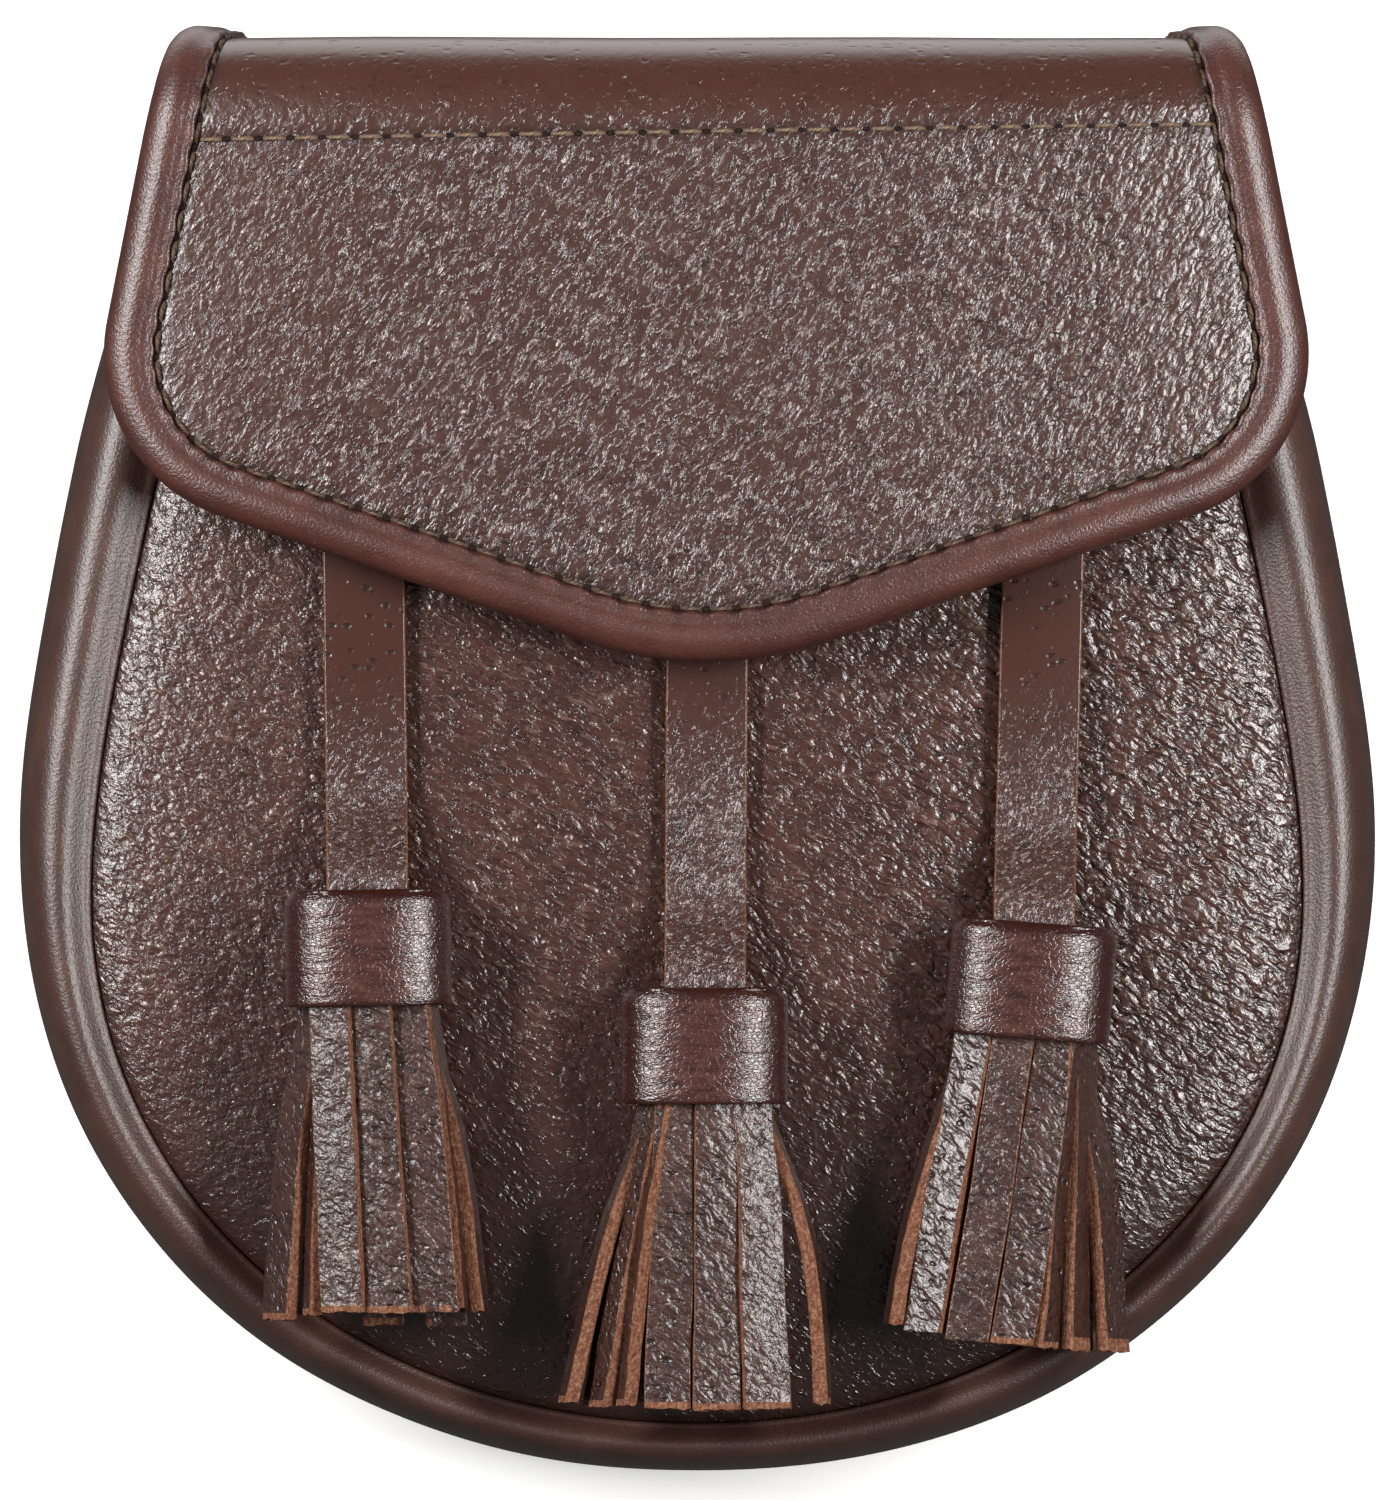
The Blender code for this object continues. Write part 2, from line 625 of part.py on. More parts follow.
def cap_frame(tassel):
    """The cap's own frame: X across, Y up the strap, Z out of the front, at its middle."""
    place = Vector((tassel.cap_x, tassel.cap_y, cap_base_z(tassel) + CAP_HALF_DEPTH))
    return Matrix.Translation(place) @ Matrix.Rotation(math.radians(tassel.lean), 4, "Z")


def cap_ring(y, inset):
    """One ring round the cap at this height."""
    ring = []
    power = 2 / CAP_ROUNDNESS
    for i in range(CAP_SIDES):
        angle = 2 * math.pi * (i + 0.5) / CAP_SIDES
        across, out = math.cos(angle), math.sin(angle)
        x = math.copysign(abs(across) ** power, across) * (CAP_HALF_WIDTH - inset)
        z = math.copysign(abs(out) ** power, out) * (CAP_HALF_DEPTH - inset)
        ring.append(Vector((x, y, z)))
    return ring


def box(low, high):
    """A closed box between two corners."""
    rings = []
    for z in (low[2], high[2]):
        rings.append(
            [
                Vector((low[0], low[1], z)),
                Vector((high[0], low[1], z)),
                Vector((high[0], high[1], z)),
                Vector((low[0], high[1], z)),
            ]
        )
    return loft(rings)


CapRow = namedtuple("CapRow", "below_top inset")

# The cap's wall, from its top down the outside, round the rim and up the inside.
CAP_ROWS = (
    CapRow(0.0, 1.9 * MM),
    CapRow(0.5 * MM, 0.7 * MM),
    CapRow(1.8 * MM, 0.0),
    CapRow(2 * CAP_HALF_HEIGHT, 0.0),
    CapRow(2 * CAP_HALF_HEIGHT, CAP_WALL),
    CapRow(2.4 * MM, CAP_WALL),
    CapRow(CAP_WALL, 2.6 * MM),
)


def make_cap(tassel, material):
    """A thin drum, closed above but for the strap's slot and open below."""
    top = CAP_HALF_HEIGHT
    shape = loft([cap_ring(top - row.below_top, row.inset) for row in CAP_ROWS])
    shape.transform(cap_frame(tassel))
    cap = add_piece(f"cap_{tassel.side}", shape, material, smooth_below=50)
    half_slot = Vector((STRAP_WIDTH / 2 + SLOT_GAP, 0, STRAP_WALL / 2 + SLOT_GAP))
    slot = box(
        Vector((-half_slot.x, 0, -half_slot.z)), Vector((half_slot.x, 2 * top, half_slot.z))
    )
    slot.transform(cap_frame(tassel))
    cut = cap.modifiers.new("strap slot", "BOOLEAN")
    cut.operation = "DIFFERENCE"
    cut.object = add_cutter(f"cap_slot_{tassel.side}", slot)


def make_strap(tassel, material):
    """A flat strap on the front panel that lifts into the slot of its cap."""
    frame = cap_frame(tassel)
    end = frame @ Vector((0, CAP_HALF_HEIGHT - STRAP_INTO_CAP, 0))
    mouth = frame @ Vector((0, CAP_HALF_HEIGHT, 0))
    start = Vector((tassel.strap_x, tassel.strap_top_y, 0))
    rings = []
    for station in range(STRAP_STATIONS + 1):
        part = station / STRAP_STATIONS
        x = start.x + (end.x - start.x) * part
        y = start.y + (end.y - start.y) * part
        resting = GAP + STRAP_WALL / 2 + max(
            front_z(x + side * STRAP_WIDTH / 2, y) for side in (-1, 0, 1)
        )
        lifted = 1 - smooth((y - mouth.y) / STRAP_RISE_LENGTH)
        z = resting + (end.z - resting) * lifted
        ring = []
        for dx, dz in ((-1, -1), (1, -1), (1, 1), (-1, 1)):
            ring.append(Vector((x + dx * STRAP_WIDTH / 2, y, z + dz * STRAP_WALL / 2)))
        rings.append(ring)
    add_piece(f"strap_{tassel.side}", loft(rings), material)


def spread_in_cap(ring):
    """How far a ring reaches towards the inside of the cap, where 1 just touches it."""
    across = CAP_HALF_WIDTH - CAP_WALL - GAP / 2
    out = CAP_HALF_DEPTH - CAP_WALL - GAP / 2
    reach = [
        (abs(point.x / across) ** CAP_ROUNDNESS + abs(point.z / out) ** CAP_ROUNDNESS)
        for point in ring
    ]
    return max(reach) ** (1 / CAP_ROUNDNESS)


def strip_mesh(strip):
    """One leather strip from inside the head down to its cut end, in the cap's frame."""
    turn = Matrix.Rotation(math.radians(strip.turn), 3, "Y")
    length = strip.length * MM
    parts = [*STRIP_ROOT_PARTS, *(i / STRIP_STATIONS for i in range(1, STRIP_STATIONS + 1))]
    rings, drawn_in = [], 1.0
    for part in parts:
        along = max(0.0, part)
        x = (strip.root + (strip.foot - strip.root) * along) * MM
        x += strip.bow * MM * math.sin(math.pi * along) * math.copysign(1, strip.foot)
        z = (strip.lift + (strip.foot_lift - strip.lift) * along) * MM
        ring = []
        for dx, dz in ((-1, -1), (1, -1), (1, 1), (-1, 1)):
            corner = Vector((dx * STRIP_WIDTH / 2, 0, dz * STRIP_WALL / 2))
            ring.append(turn @ corner + Vector((x, 0, z)))
        if part < STRIP_FREE_FROM:
            drawn_in = max(drawn_in, spread_in_cap(ring))
        gathered = 1 / drawn_in + (1 - 1 / drawn_in) * smooth(along / STRIP_FREE_BY)
        y = -CAP_HALF_HEIGHT - part * length
        rings.append([Vector((p.x * gathered, y, p.z * gathered)) for p in ring])
    return loft(rings)


def make_fringe(tassel, material):
    """The strips, each fused to the plug of leather that fills the cap."""
    frame = cap_frame(tassel)
    inset = CAP_WALL + GAP
    head = loft([cap_ring(-HEAD_FOOT, inset), cap_ring(HEAD_TOP, inset)])
    head.transform(frame)
    fringe = add_piece(f"fringe_{tassel.side}", head, material)
    for number, strip in enumerate(tassel.strips, start=1):
        shape = strip_mesh(strip)
        shape.transform(frame)
        joined = fringe.modifiers.new(f"strip {number}", "BOOLEAN")
        joined.operation = "UNION"
        joined.object = add_cutter(f"strip_{tassel.side}_{number}", shape)


# --- Belt loops and stud ---


def make_belt_loop(side, centre_x, material):
    """A strap sewn to the back at both ends, with a level face that the pouch rests on."""
    low, high = LOOP_FLAT_Y
    down = LOOP_WALL + GAP
    bottom, top = low - LOOP_RAMP, high + LOOP_RAMP
    faces = [
        Vector((bottom - LOOP_SEWN_END, back_z(bottom - LOOP_SEWN_END) - down)),
        Vector((bottom, back_z(bottom) - down)),
        Vector((low, 0)),
        Vector((high, 0)),
        Vector((top, back_z(top) - down)),
        Vector((top + LOOP_SEWN_END, back_z(top + LOOP_SEWN_END) - down)),
    ]
    section = faces + [Vector((p.x, p.y + LOOP_WALL)) for p in reversed(faces)]
    rings = []
    for x in (centre_x - LOOP_WIDTH / 2, centre_x + LOOP_WIDTH / 2):
        rings.append([Vector((x, point.x, point.y)) for point in section])
    add_piece(f"belt_loop_{side}", loft(rings), material)


def make_snap_stud(material):
    """The closing stud, a turned shape between the front panel and the flap's underside."""
    low = front_z(FLAP_CENTRE_X, STUD_Y) + GAP
    high = FLAP_FACE_Z - FLAP_WALL - GAP
    profile = (
        (STUD_RADIUS, low),
        (STUD_RADIUS, low + STUD_RIM),
        (STUD_POST_RADIUS, low + STUD_RIM),
        (STUD_POST_RADIUS, high - STUD_RIM),
        (STUD_RADIUS, high - STUD_RIM),
        (STUD_RADIUS, high),
    )
    rings = []
    for radius, z in profile:
        ring = []
        for i in range(STUD_SIDES):
            angle = 2 * math.pi * i / STUD_SIDES
            x = FLAP_CENTRE_X + radius * math.cos(angle)
            ring.append(Vector((x, STUD_Y + radius * math.sin(angle), z)))
        rings.append(ring)
    add_piece("snap_stud", loft(rings), material)


def main():
    clear_scene()
    grained = leather("pebbled_leather", 0.13, 0.085, 0.075, 0.42)
    smooth_hide = leather("bridle_leather", 0.15, 0.09, 0.08, 0.38)
    bound = leather("binding_leather", 0.16, 0.085, 0.07, 0.36)
    cut = leather("cut_leather", 0.19, 0.1, 0.07, 0.6)
    brass = leather("stud_brass", 0.55, 0.4, 0.18, 0.35)
    brass.node_tree.nodes["Principled BSDF"].inputs["Metallic"].default_value = 1
    make_back_panel(smooth_hide)
    make_gusset(smooth_hide)
    make_front_panel(grained)
    make_flap(grained)
    make_flap_binding(bound)
    for tassel in TASSELS:
        make_cap(tassel, bound)
        make_strap(tassel, grained)
        make_fringe(tassel, cut)
    make_belt_loop("left", -LOOP_CENTRE_X, smooth_hide)
    make_belt_loop("right", LOOP_CENTRE_X, smooth_hide)
    make_snap_stud(brass)


main()
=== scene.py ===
"""The looks of a day sporran pouch in brown leather, modelled round its solids.

It lies on its back. +X points to its right, +Y to its top and +Z out of its front.
Every length is in metres.
"""

import math
from collections import namedtuple

import bpy
from mathutils import Matrix, Vector, kdtree, noise


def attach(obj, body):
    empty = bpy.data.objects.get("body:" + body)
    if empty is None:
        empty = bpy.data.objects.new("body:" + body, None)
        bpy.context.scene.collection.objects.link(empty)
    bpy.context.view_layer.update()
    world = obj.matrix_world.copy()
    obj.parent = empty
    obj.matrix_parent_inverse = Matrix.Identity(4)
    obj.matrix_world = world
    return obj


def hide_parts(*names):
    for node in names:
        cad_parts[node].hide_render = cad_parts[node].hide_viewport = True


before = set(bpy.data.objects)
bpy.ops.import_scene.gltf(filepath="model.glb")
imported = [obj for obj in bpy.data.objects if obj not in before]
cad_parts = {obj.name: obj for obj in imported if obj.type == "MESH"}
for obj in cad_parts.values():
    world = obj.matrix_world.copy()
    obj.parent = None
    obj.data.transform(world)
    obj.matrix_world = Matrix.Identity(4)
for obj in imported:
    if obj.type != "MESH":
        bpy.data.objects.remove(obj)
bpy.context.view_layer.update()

MM = 0.001
GAP = 0.3 * MM  # clear space kept between two pieces that touch

# --- Sizes, the same as the solids have ---

BODY_HALF_WIDTH = 95.0 * MM
BODY_WIDEST_Y = -12.8 * MM
BODY_BELOW_WIDEST = 88.6 * MM
BODY_ROUNDNESS = 2.14
BODY_LEAN = 0.218
BODY_LEAN_START = 5.05 * MM
BODY_TUCK_START_Y = 40.0 * MM
BODY_TUCK = 3.0 * MM

SEAM_HALF_WIDTH = 84.7 * MM
SEAM_WIDEST_Y = -20.5 * MM
SEAM_BELOW_WIDEST = 73.8 * MM
SEAM_ROUNDNESS = 2.07
SEAM_LEAN = 0.243
SEAM_LEAN_START = 6.5 * MM

BACK_SLOPE = 0.05
BACK_LOWEST_Y = -98.4 * MM
PANEL_WALL = 2.4 * MM
BAND_WALL = 1.9 * MM
BAND_CREST_Z = 34.0 * MM
BAND_TOP_Y = 84.0 * MM
SEAM_Z = 31.0 * MM
DOME_HEIGHT = 7.5 * MM
DOME_LOSS_AT_MOUTH = 0.25
DOME_POWER = 2.4
MOUTH_DIP = 12.0 * MM
BACK_TOP_Y = 87.0 * MM
BACK_RIM_INSET = 3.0 * MM
PANEL_MIDDLE = Vector((0.0, -8.0 * MM))

FLAP_CENTRE_X = 1.3 * MM
FLAP_TIP_Y = 12.4 * MM
FLAP_WALL = 3.0 * MM
FLAP_FACE_Z = 47.0 * MM
FLAP_FOLD_Y = 85.6 * MM
FLAP_FOLD_RADIUS = 14.0 * MM
FLAP_TONGUE = 9.6 * MM
FLAP_SIDE_DROP = 7.0 * MM
FLAP_DROP_AT = 84.0 * MM
BINDING_WALL = 1.2 * MM

STRAP_WIDTH = 11.4 * MM
STRAP_WALL = 2.2 * MM
STRAP_INTO_CAP = 3.2 * MM
STRAP_RISE_LENGTH = 15.0 * MM
CAP_HALF_WIDTH = 11.7 * MM
CAP_HALF_DEPTH = 6.8 * MM
CAP_HALF_HEIGHT = 8.15 * MM
CAP_ROUNDNESS = 2.7
CAP_WALL = 1.2 * MM
CAP_CLEARANCE = 0.5 * MM
STRIP_WIDTH = 5.8 * MM
STRIP_WALL = 2.0 * MM
STRIP_FREE_FROM = 0.05
STRIP_FREE_BY = 0.4
HEAD_TOP = 3.8 * MM
HEAD_FOOT = 6.6 * MM

LOOP_WIDTH = 25.0 * MM
LOOP_WALL = 2.2 * MM
LOOP_CENTRE_X = 42.0 * MM
LOOP_FLAT_Y = (34.0 * MM, 60.0 * MM)
LOOP_RAMP = 6.0 * MM
LOOP_SEWN_END = 7.0 * MM

Strip = namedtuple("Strip", "root foot turn lift foot_lift bow length")
Tassel = namedtuple("Tassel", "side strap_x cap_x cap_y lean strap_top_y strips facing")

# Strips across the fringe, in the cap's own frame: root and foot are the middle of the strip
# at the cap's mouth and at its cut end, turn is 0 for a strip that faces the front, and lift
# is measured from the middle of the cap. Lengths in millimetres, angles in degrees.
LEFT_STRIPS = (
    Strip(-8.0, -13.2, -52, -0.6, -1.5, 0.6, 43.6),
    Strip(-7.0, -9.0, -70, 0.8, -0.8, 0.0, 43.0),
    Strip(-5.6, -4.0, -4, 3.6, 3.4, 0.0, 42.6),
    Strip(0.4, 2.0, 0, 4.0, 3.7, 0.0, 42.8),
    Strip(6.0, 8.9, 5, 3.4, 3.2, 0.0, 42.8),
    Strip(8.2, 12.6, 78, 0.4, 0.2, 0.4, 42.4),
    Strip(8.2, 15.0, 82, -1.2, -1.6, 0.8, 42.9),
    Strip(-5.6, -8.4, 180, -3.8, -4.4, 0.0, 42.8),
    Strip(0.6, 1.4, 180, -4.0, -4.6, 0.0, 44.6),
    Strip(6.2, 10.0, 180, -3.8, -4.4, 0.0, 44.8),
)
MIDDLE_STRIPS = (
    Strip(-8.0, -19.2, -80, -0.9, -1.2, 0.8, 41.6),
    Strip(-7.2, -15.0, -58, 1.8, 0.4, 0.4, 42.2),
    Strip(-6.6, -11.6, -66, 2.8, 1.6, 0.2, 42.0),
    Strip(-4.4, -5.2, 0, 4.0, 3.8, 0.0, 42.4),
    Strip(1.4, 1.6, 0, 4.2, 3.9, 0.0, 42.6),
    Strip(7.2, 8.6, 0, 3.4, 3.4, 0.0, 42.4),
    Strip(8.3, 16.4, 84, -0.4, -0.6, 2.4, 41.8),
    Strip(-5.8, -10.0, 180, -3.6, -4.4, 0.0, 41.6),
    Strip(0.4, -1.0, 180, -4.0, -4.6, 0.0, 42.0),
    Strip(6.4, 8.0, 180, -3.6, -4.4, 0.0, 42.0),
)
RIGHT_STRIPS = (
    Strip(-8.2, -15.8, -80, -0.8, -1.2, 0.8, 41.2),
    Strip(-7.2, -11.2, -22, 2.6, 2.2, 0.0, 41.8),
    Strip(-1.8, -4.7, 0, 4.0, 3.8, 0.0, 42.6),
    Strip(4.2, 1.2, 0, 4.0, 3.8, 0.0, 42.6),
    Strip(7.2, 6.2, 58, 2.0, 1.4, 0.0, 42.8),
    Strip(8.2, 10.6, 44, 0.2, -0.4, 0.0, 42.8),
    Strip(8.0, 15.6, 56, -2.2, -2.4, 0.4, 42.6),
    Strip(-5.8, -9.6, 180, -3.8, -4.4, 0.0, 41.4),
    Strip(0.2, -1.6, 180, -4.0, -4.6, 0.0, 42.0),
    Strip(5.6, 6.6, 180, -4.2, -4.8, 0.0, 42.0),
)
TASSELS = (
    Tassel("left", -46.7 * MM, -45.9 * MM, -27.7 * MM, 0.9, 36.0 * MM, LEFT_STRIPS, -13),
    Tassel("middle", 1.5 * MM, 1.1 * MM, -41.4 * MM, 0.0, 30.0 * MM, MIDDLE_STRIPS, 5),
    Tassel("right", 48.6 * MM, 46.6 * MM, -32.3 * MM, -4.5, 36.0 * MM, RIGHT_STRIPS, -3),
)

# --- Sizes of what is only modelled here ---

STITCH_PITCH = 4.5 * MM
THREAD_RADIUS = 0.34 * MM
HOLE_RADIUS = 0.56 * MM
BACK_STITCH_INSET = 3.6 * MM


# --- The outline and the surfaces of the pouch ---

Fade = namedtuple("Fade", "start length")
Waves = namedtuple("Waves", "height size")


def smooth(t):
    """0 to 1 with level ends."""
    t = min(1.0, max(0.0, t))
    return t * t * (3 - 2 * t)


def faded(value, fade):
    """0 up to the fade's start and 1 past its length, which is negative where it grows down."""
    return smooth((value - fade.start) / fade.length)


def bell(distance, width):
    """1 at no distance, falling to next to nothing at twice the width."""
    return math.exp(-((distance / width) ** 2))


def waving(point, waves, seed=0.0):
    """Soft uneven waves of this size, up to this height and down to its negative."""
    x, y, z = (value / waves.size for value in point)
    return waves.height * noise.noise(Vector((x, y, z + seed)))


def back_z(y):
    """Height of the back panel's lower face, which slopes up towards the top."""
    return BACK_SLOPE * (y - BACK_LOWEST_Y)


def mirrored(point):
    """The same point on the other side of the pouch."""
    return Vector((-point.x, point.y))


def leaning_half_width(above, half_width, lean, start):
    """Half the width this far above the widest line, where the sides start to lean in."""
    return half_width - (math.hypot(lean * above, start) - start)


def rounded_bottom(angle, half_width, widest_y, below, roundness):
    """A point of the superellipse below the widest line."""
    power = 2 / roundness
    across, down = math.cos(angle), max(0.0, math.sin(angle))
    x = half_width * math.copysign(abs(across) ** power, across)
    return Vector((x, widest_y - below * down**power))


def outline_pairs(side_steps, bottom_steps):
    """(outer edge, seam) points of the side band, from the top right round to the top left."""
    right = []
    for i in range(side_steps):
        part = i / side_steps
        y = BAND_TOP_Y + (BODY_WIDEST_Y - BAND_TOP_Y) * part
        x = leaning_half_width(y - BODY_WIDEST_Y, BODY_HALF_WIDTH, BODY_LEAN, BODY_LEAN_START)
        x -= BODY_TUCK * smooth((y - BODY_TUCK_START_Y) / (BAND_TOP_Y - BODY_TUCK_START_Y))
        seam_y = y + (SEAM_WIDEST_Y - BODY_WIDEST_Y) * part
        seam_x = leaning_half_width(
            seam_y - SEAM_WIDEST_Y, SEAM_HALF_WIDTH, SEAM_LEAN, SEAM_LEAN_START
        )
        right.append((Vector((x, y)), Vector((seam_x, seam_y))))
    bottom = []
    for i in range(bottom_steps + 1):
        angle = math.pi * i / bottom_steps
        outer = rounded_bottom(
            angle, BODY_HALF_WIDTH, BODY_WIDEST_Y, BODY_BELOW_WIDEST, BODY_ROUNDNESS
        )
        seam = rounded_bottom(
            angle, SEAM_HALF_WIDTH, SEAM_WIDEST_Y, SEAM_BELOW_WIDEST, SEAM_ROUNDNESS
        )
        bottom.append((outer, seam))
    left = [(mirrored(outer), mirrored(seam)) for outer, seam in reversed(right)]
    return right + bottom + left


def seam_half_width(y):
    """Half of the seam's width, at its widest line or above it."""
    return leaning_half_width(y - SEAM_WIDEST_Y, SEAM_HALF_WIDTH, SEAM_LEAN, SEAM_LEAN_START)


def front_z(x, y):
    """Height of the front panel's outer face: a dome that rises steeply from its seam."""
    down = max(0.0, (SEAM_WIDEST_Y - y) / SEAM_BELOW_WIDEST)
    across = abs(x) / (SEAM_HALF_WIDTH if down else seam_half_width(y))
    radius = min(1.0, (across**SEAM_ROUNDNESS + down**SEAM_ROUNDNESS) ** (1 / SEAM_ROUNDNESS))
    towards_mouth = smooth((y - SEAM_WIDEST_Y) / (BAND_TOP_Y - SEAM_WIDEST_Y))
    height = DOME_HEIGHT * (1 - DOME_LOSS_AT_MOUTH * towards_mouth)
    return SEAM_Z + height * math.sqrt(1 - radius**DOME_POWER)


def offset_line(points, distance):
    """An open 2-D line moved to its right by distance, with mitred corners."""
    moved = []
    for i, point in enumerate(points):
        normals = []
        for start, end in ((i - 1, i), (i, i + 1)):
            if start >= 0 and end < len(points):
                along = (points[end] - points[start]).normalized()
                normals.append(Vector((along.y, -along.x)))
        middle = sum(normals, Vector((0, 0))).normalized()
        moved.append(point + middle * (distance / middle.dot(normals[0])))
    return moved


def curved(points, steps):
    """A smooth line through the points, with this many steps from each to the next."""
    points = [Vector(point) for point in points]
    line = []
    for i in range(len(points) - 1):
        before, start = points[max(i - 1, 0)], points[i]
        end, after = points[i + 1], points[min(i + 2, len(points) - 1)]
        for step in range(steps):
            t = step / steps
            bend = (2 * before - 5 * start + 4 * end - after) * t**2
            bend += (3 * start - before - 3 * end + after) * t**3
            line.append((2 * start + (end - before) * t + bend) / 2)
    return line + [points[-1]]


def line_length(line):
    """The length of a line of points."""
    return sum((b - a).length for a, b in zip(line, line[1:]))


def spaced(line, count):
    """count + 1 points at equal distances along the line."""
    length = line_length(line)
    points, walked, i = [], 0.0, 0
    for number in range(count + 1):
        wanted = length * number / count
        while i < len(line) - 2 and walked + (line[i + 1] - line[i]).length < wanted:
            walked += (line[i + 1] - line[i]).length
            i += 1
        step = (line[i + 1] - line[i]).length
        points.append(line[i].lerp(line[i + 1], min(1.0, (wanted - walked) / step)))
    return points


# --- The flap's shape ---

FLAP_FRONT = FLAP_FOLD_Y - FLAP_TIP_Y
FOLD_LENGTH = FLAP_FOLD_RADIUS * math.pi / 2
FLAP_BACK_Z = back_z(FLAP_FOLD_Y) - GAP - FLAP_WALL
FOLD_STRAIGHT = FLAP_FACE_Z - FLAP_BACK_Z - 2 * FLAP_FOLD_RADIUS
FLAP_LENGTH = FLAP_FRONT + 2 * FOLD_LENGTH + FOLD_STRAIGHT + FLAP_TONGUE

Corner = namedtuple("Corner", "half_width from_tip radius")

# The binding's outer edge before folding, one side of it from the sewn end to the tip.
FLAP_CORNERS = (
    Corner(71.5 * MM, FLAP_LENGTH, 0),
    Corner(71.5 * MM, 110.0 * MM, 60.0 * MM),
    Corner(87.8 * MM, 27.0 * MM, 24.0 * MM),
    Corner(0.0, -3.4 * MM, 54.0 * MM),
)
FLAP_FIRST_FULL_ROW = 50.0 * MM


def flap_point(x, s, lift):
    """The place of a point of the flap, s from its tip, lifted off its middle surface."""
    lift += FLAP_WALL / -2
    top_of_arc = FLAP_FACE_Z - FLAP_FOLD_RADIUS
    foot_of_arc = FLAP_BACK_Z + FLAP_FOLD_RADIUS
    over = s - FLAP_FRONT
    if over <= 0:
        y, z = FLAP_TIP_Y + s, FLAP_FACE_Z + lift
    elif over <= FOLD_LENGTH:
        angle = math.pi / 2 - over / FLAP_FOLD_RADIUS
        y = FLAP_FOLD_Y + (FLAP_FOLD_RADIUS + lift) * math.cos(angle)
        z = top_of_arc + (FLAP_FOLD_RADIUS + lift) * math.sin(angle)
    elif over <= FOLD_LENGTH + FOLD_STRAIGHT:
        y = FLAP_FOLD_Y + FLAP_FOLD_RADIUS + lift
        z = top_of_arc - (over - FOLD_LENGTH)
    elif over <= 2 * FOLD_LENGTH + FOLD_STRAIGHT:
        angle = -(over - FOLD_LENGTH - FOLD_STRAIGHT) / FLAP_FOLD_RADIUS
        y = FLAP_FOLD_Y + (FLAP_FOLD_RADIUS + lift) * math.cos(angle)
        z = foot_of_arc + (FLAP_FOLD_RADIUS + lift) * math.sin(angle)
    else:
        past = over - 2 * FOLD_LENGTH - FOLD_STRAIGHT
        y = FLAP_FOLD_Y - past
        z = FLAP_BACK_Z - lift - BACK_SLOPE * past
    drop = FLAP_SIDE_DROP * (abs(x) / FLAP_DROP_AT) ** 3 / (FLAP_FACE_Z - FLAP_BACK_Z)
    z = FLAP_BACK_Z + (z - FLAP_BACK_Z) * (1 - drop)
    return Vector((FLAP_CENTRE_X + x, y, z))


def filleted(corners, turn_step):
    """The line through corners, each rounded by its radius in steps of turn_step."""
    line = [Vector(corners[0][:2])]
    for before, corner, after in zip(corners, corners[1:], corners[2:]):
        vertex = Vector(corner[:2])
        back = (Vector(before[:2]) - vertex).normalized()
        ahead = (Vector(after[:2]) - vertex).normalized()
        turn = math.pi - back.angle(ahead)
        tangent = corner.radius * math.tan(turn / 2)
        steps = max(1, round(turn / turn_step))
        start, end = vertex + back * tangent, vertex + ahead * tangent
        centre = vertex + (back + ahead).normalized() * (corner.radius / math.cos(turn / 2))
        for i in range(steps + 1):
            angle = turn * i / steps
            swept = (start - centre) * math.sin(turn - angle) + (end - centre) * math.sin(angle)
            line.append(centre + swept / math.sin(turn))
    return line


def flap_outline(turn_step):
    """The outer edge from the right sewn end round the tip to the left sewn end."""
    right = list(FLAP_CORNERS)
    left = [Corner(-c.half_width, c.from_tip, c.radius) for c in right[-2::-1]]
    corners = right + left
    return filleted(corners, turn_step) + [Vector(corners[-1][:2])]


def along_line(line, height):
    """The x of the side of the flap at this distance from the tip."""
    height = min(height, line[0].y)
    for start, end in zip(line, line[1:]):
        if start.y >= height >= end.y:
            return start.lerp(end, (start.y - height) / max(start.y - end.y, 1e-9)).x
    return line[-1].x


# --- Modelling helpers ---


def select_only(piece):
    """Selects this piece alone, for the next operator."""
    bpy.ops.object.select_all(action="DESELECT")
    piece.select_set(True)
    bpy.context.view_layer.objects.active = piece


def skin(name, rows, span=(1.0, 1.0), marks=None, slots=None):
    """Models a fine grid and sets its points row by row. Seen from outside, the columns run
    to the right and the rows run up. span is the width and length that its UV map counts,
    roughly the real ones, marks are rows of each point's named values, and slots gives each
    column's material."""
    bpy.ops.object.select_all(action="DESELECT")
    columns = len(rows[0])
    bpy.ops.mesh.primitive_grid_add(x_subdivisions=columns - 1, y_subdivisions=len(rows) - 1)
    piece = bpy.context.object
    piece.name = piece.data.name = name
    mesh = piece.data
    mesh.vertices.foreach_set("co", [value for row in rows for point in row for value in point])
    for loop in mesh.uv_layers[0].data:
        loop.uv = (loop.uv[0] * span[0], loop.uv[1] * span[1])
    for mark in marks[0][0] if marks else ():
        attribute = mesh.attributes.new(mark, "FLOAT", "POINT")
        attribute.data.foreach_set("value", [point[mark] for row in marks for point in row])
    if slots:
        for number, face in enumerate(mesh.polygons):
            face.material_index = slots[number % (columns - 1)]
    edit_mesh(piece, lambda: bpy.ops.mesh.remove_doubles(threshold=1e-6))
    return piece


def edit_mesh(piece, operator):
    """Runs an operator on all of the piece in edit mode."""
    select_only(piece)
    bpy.ops.object.mode_set(mode="EDIT")
    bpy.ops.mesh.select_all(action="SELECT")
    operator()
    bpy.ops.object.mode_set(mode="OBJECT")


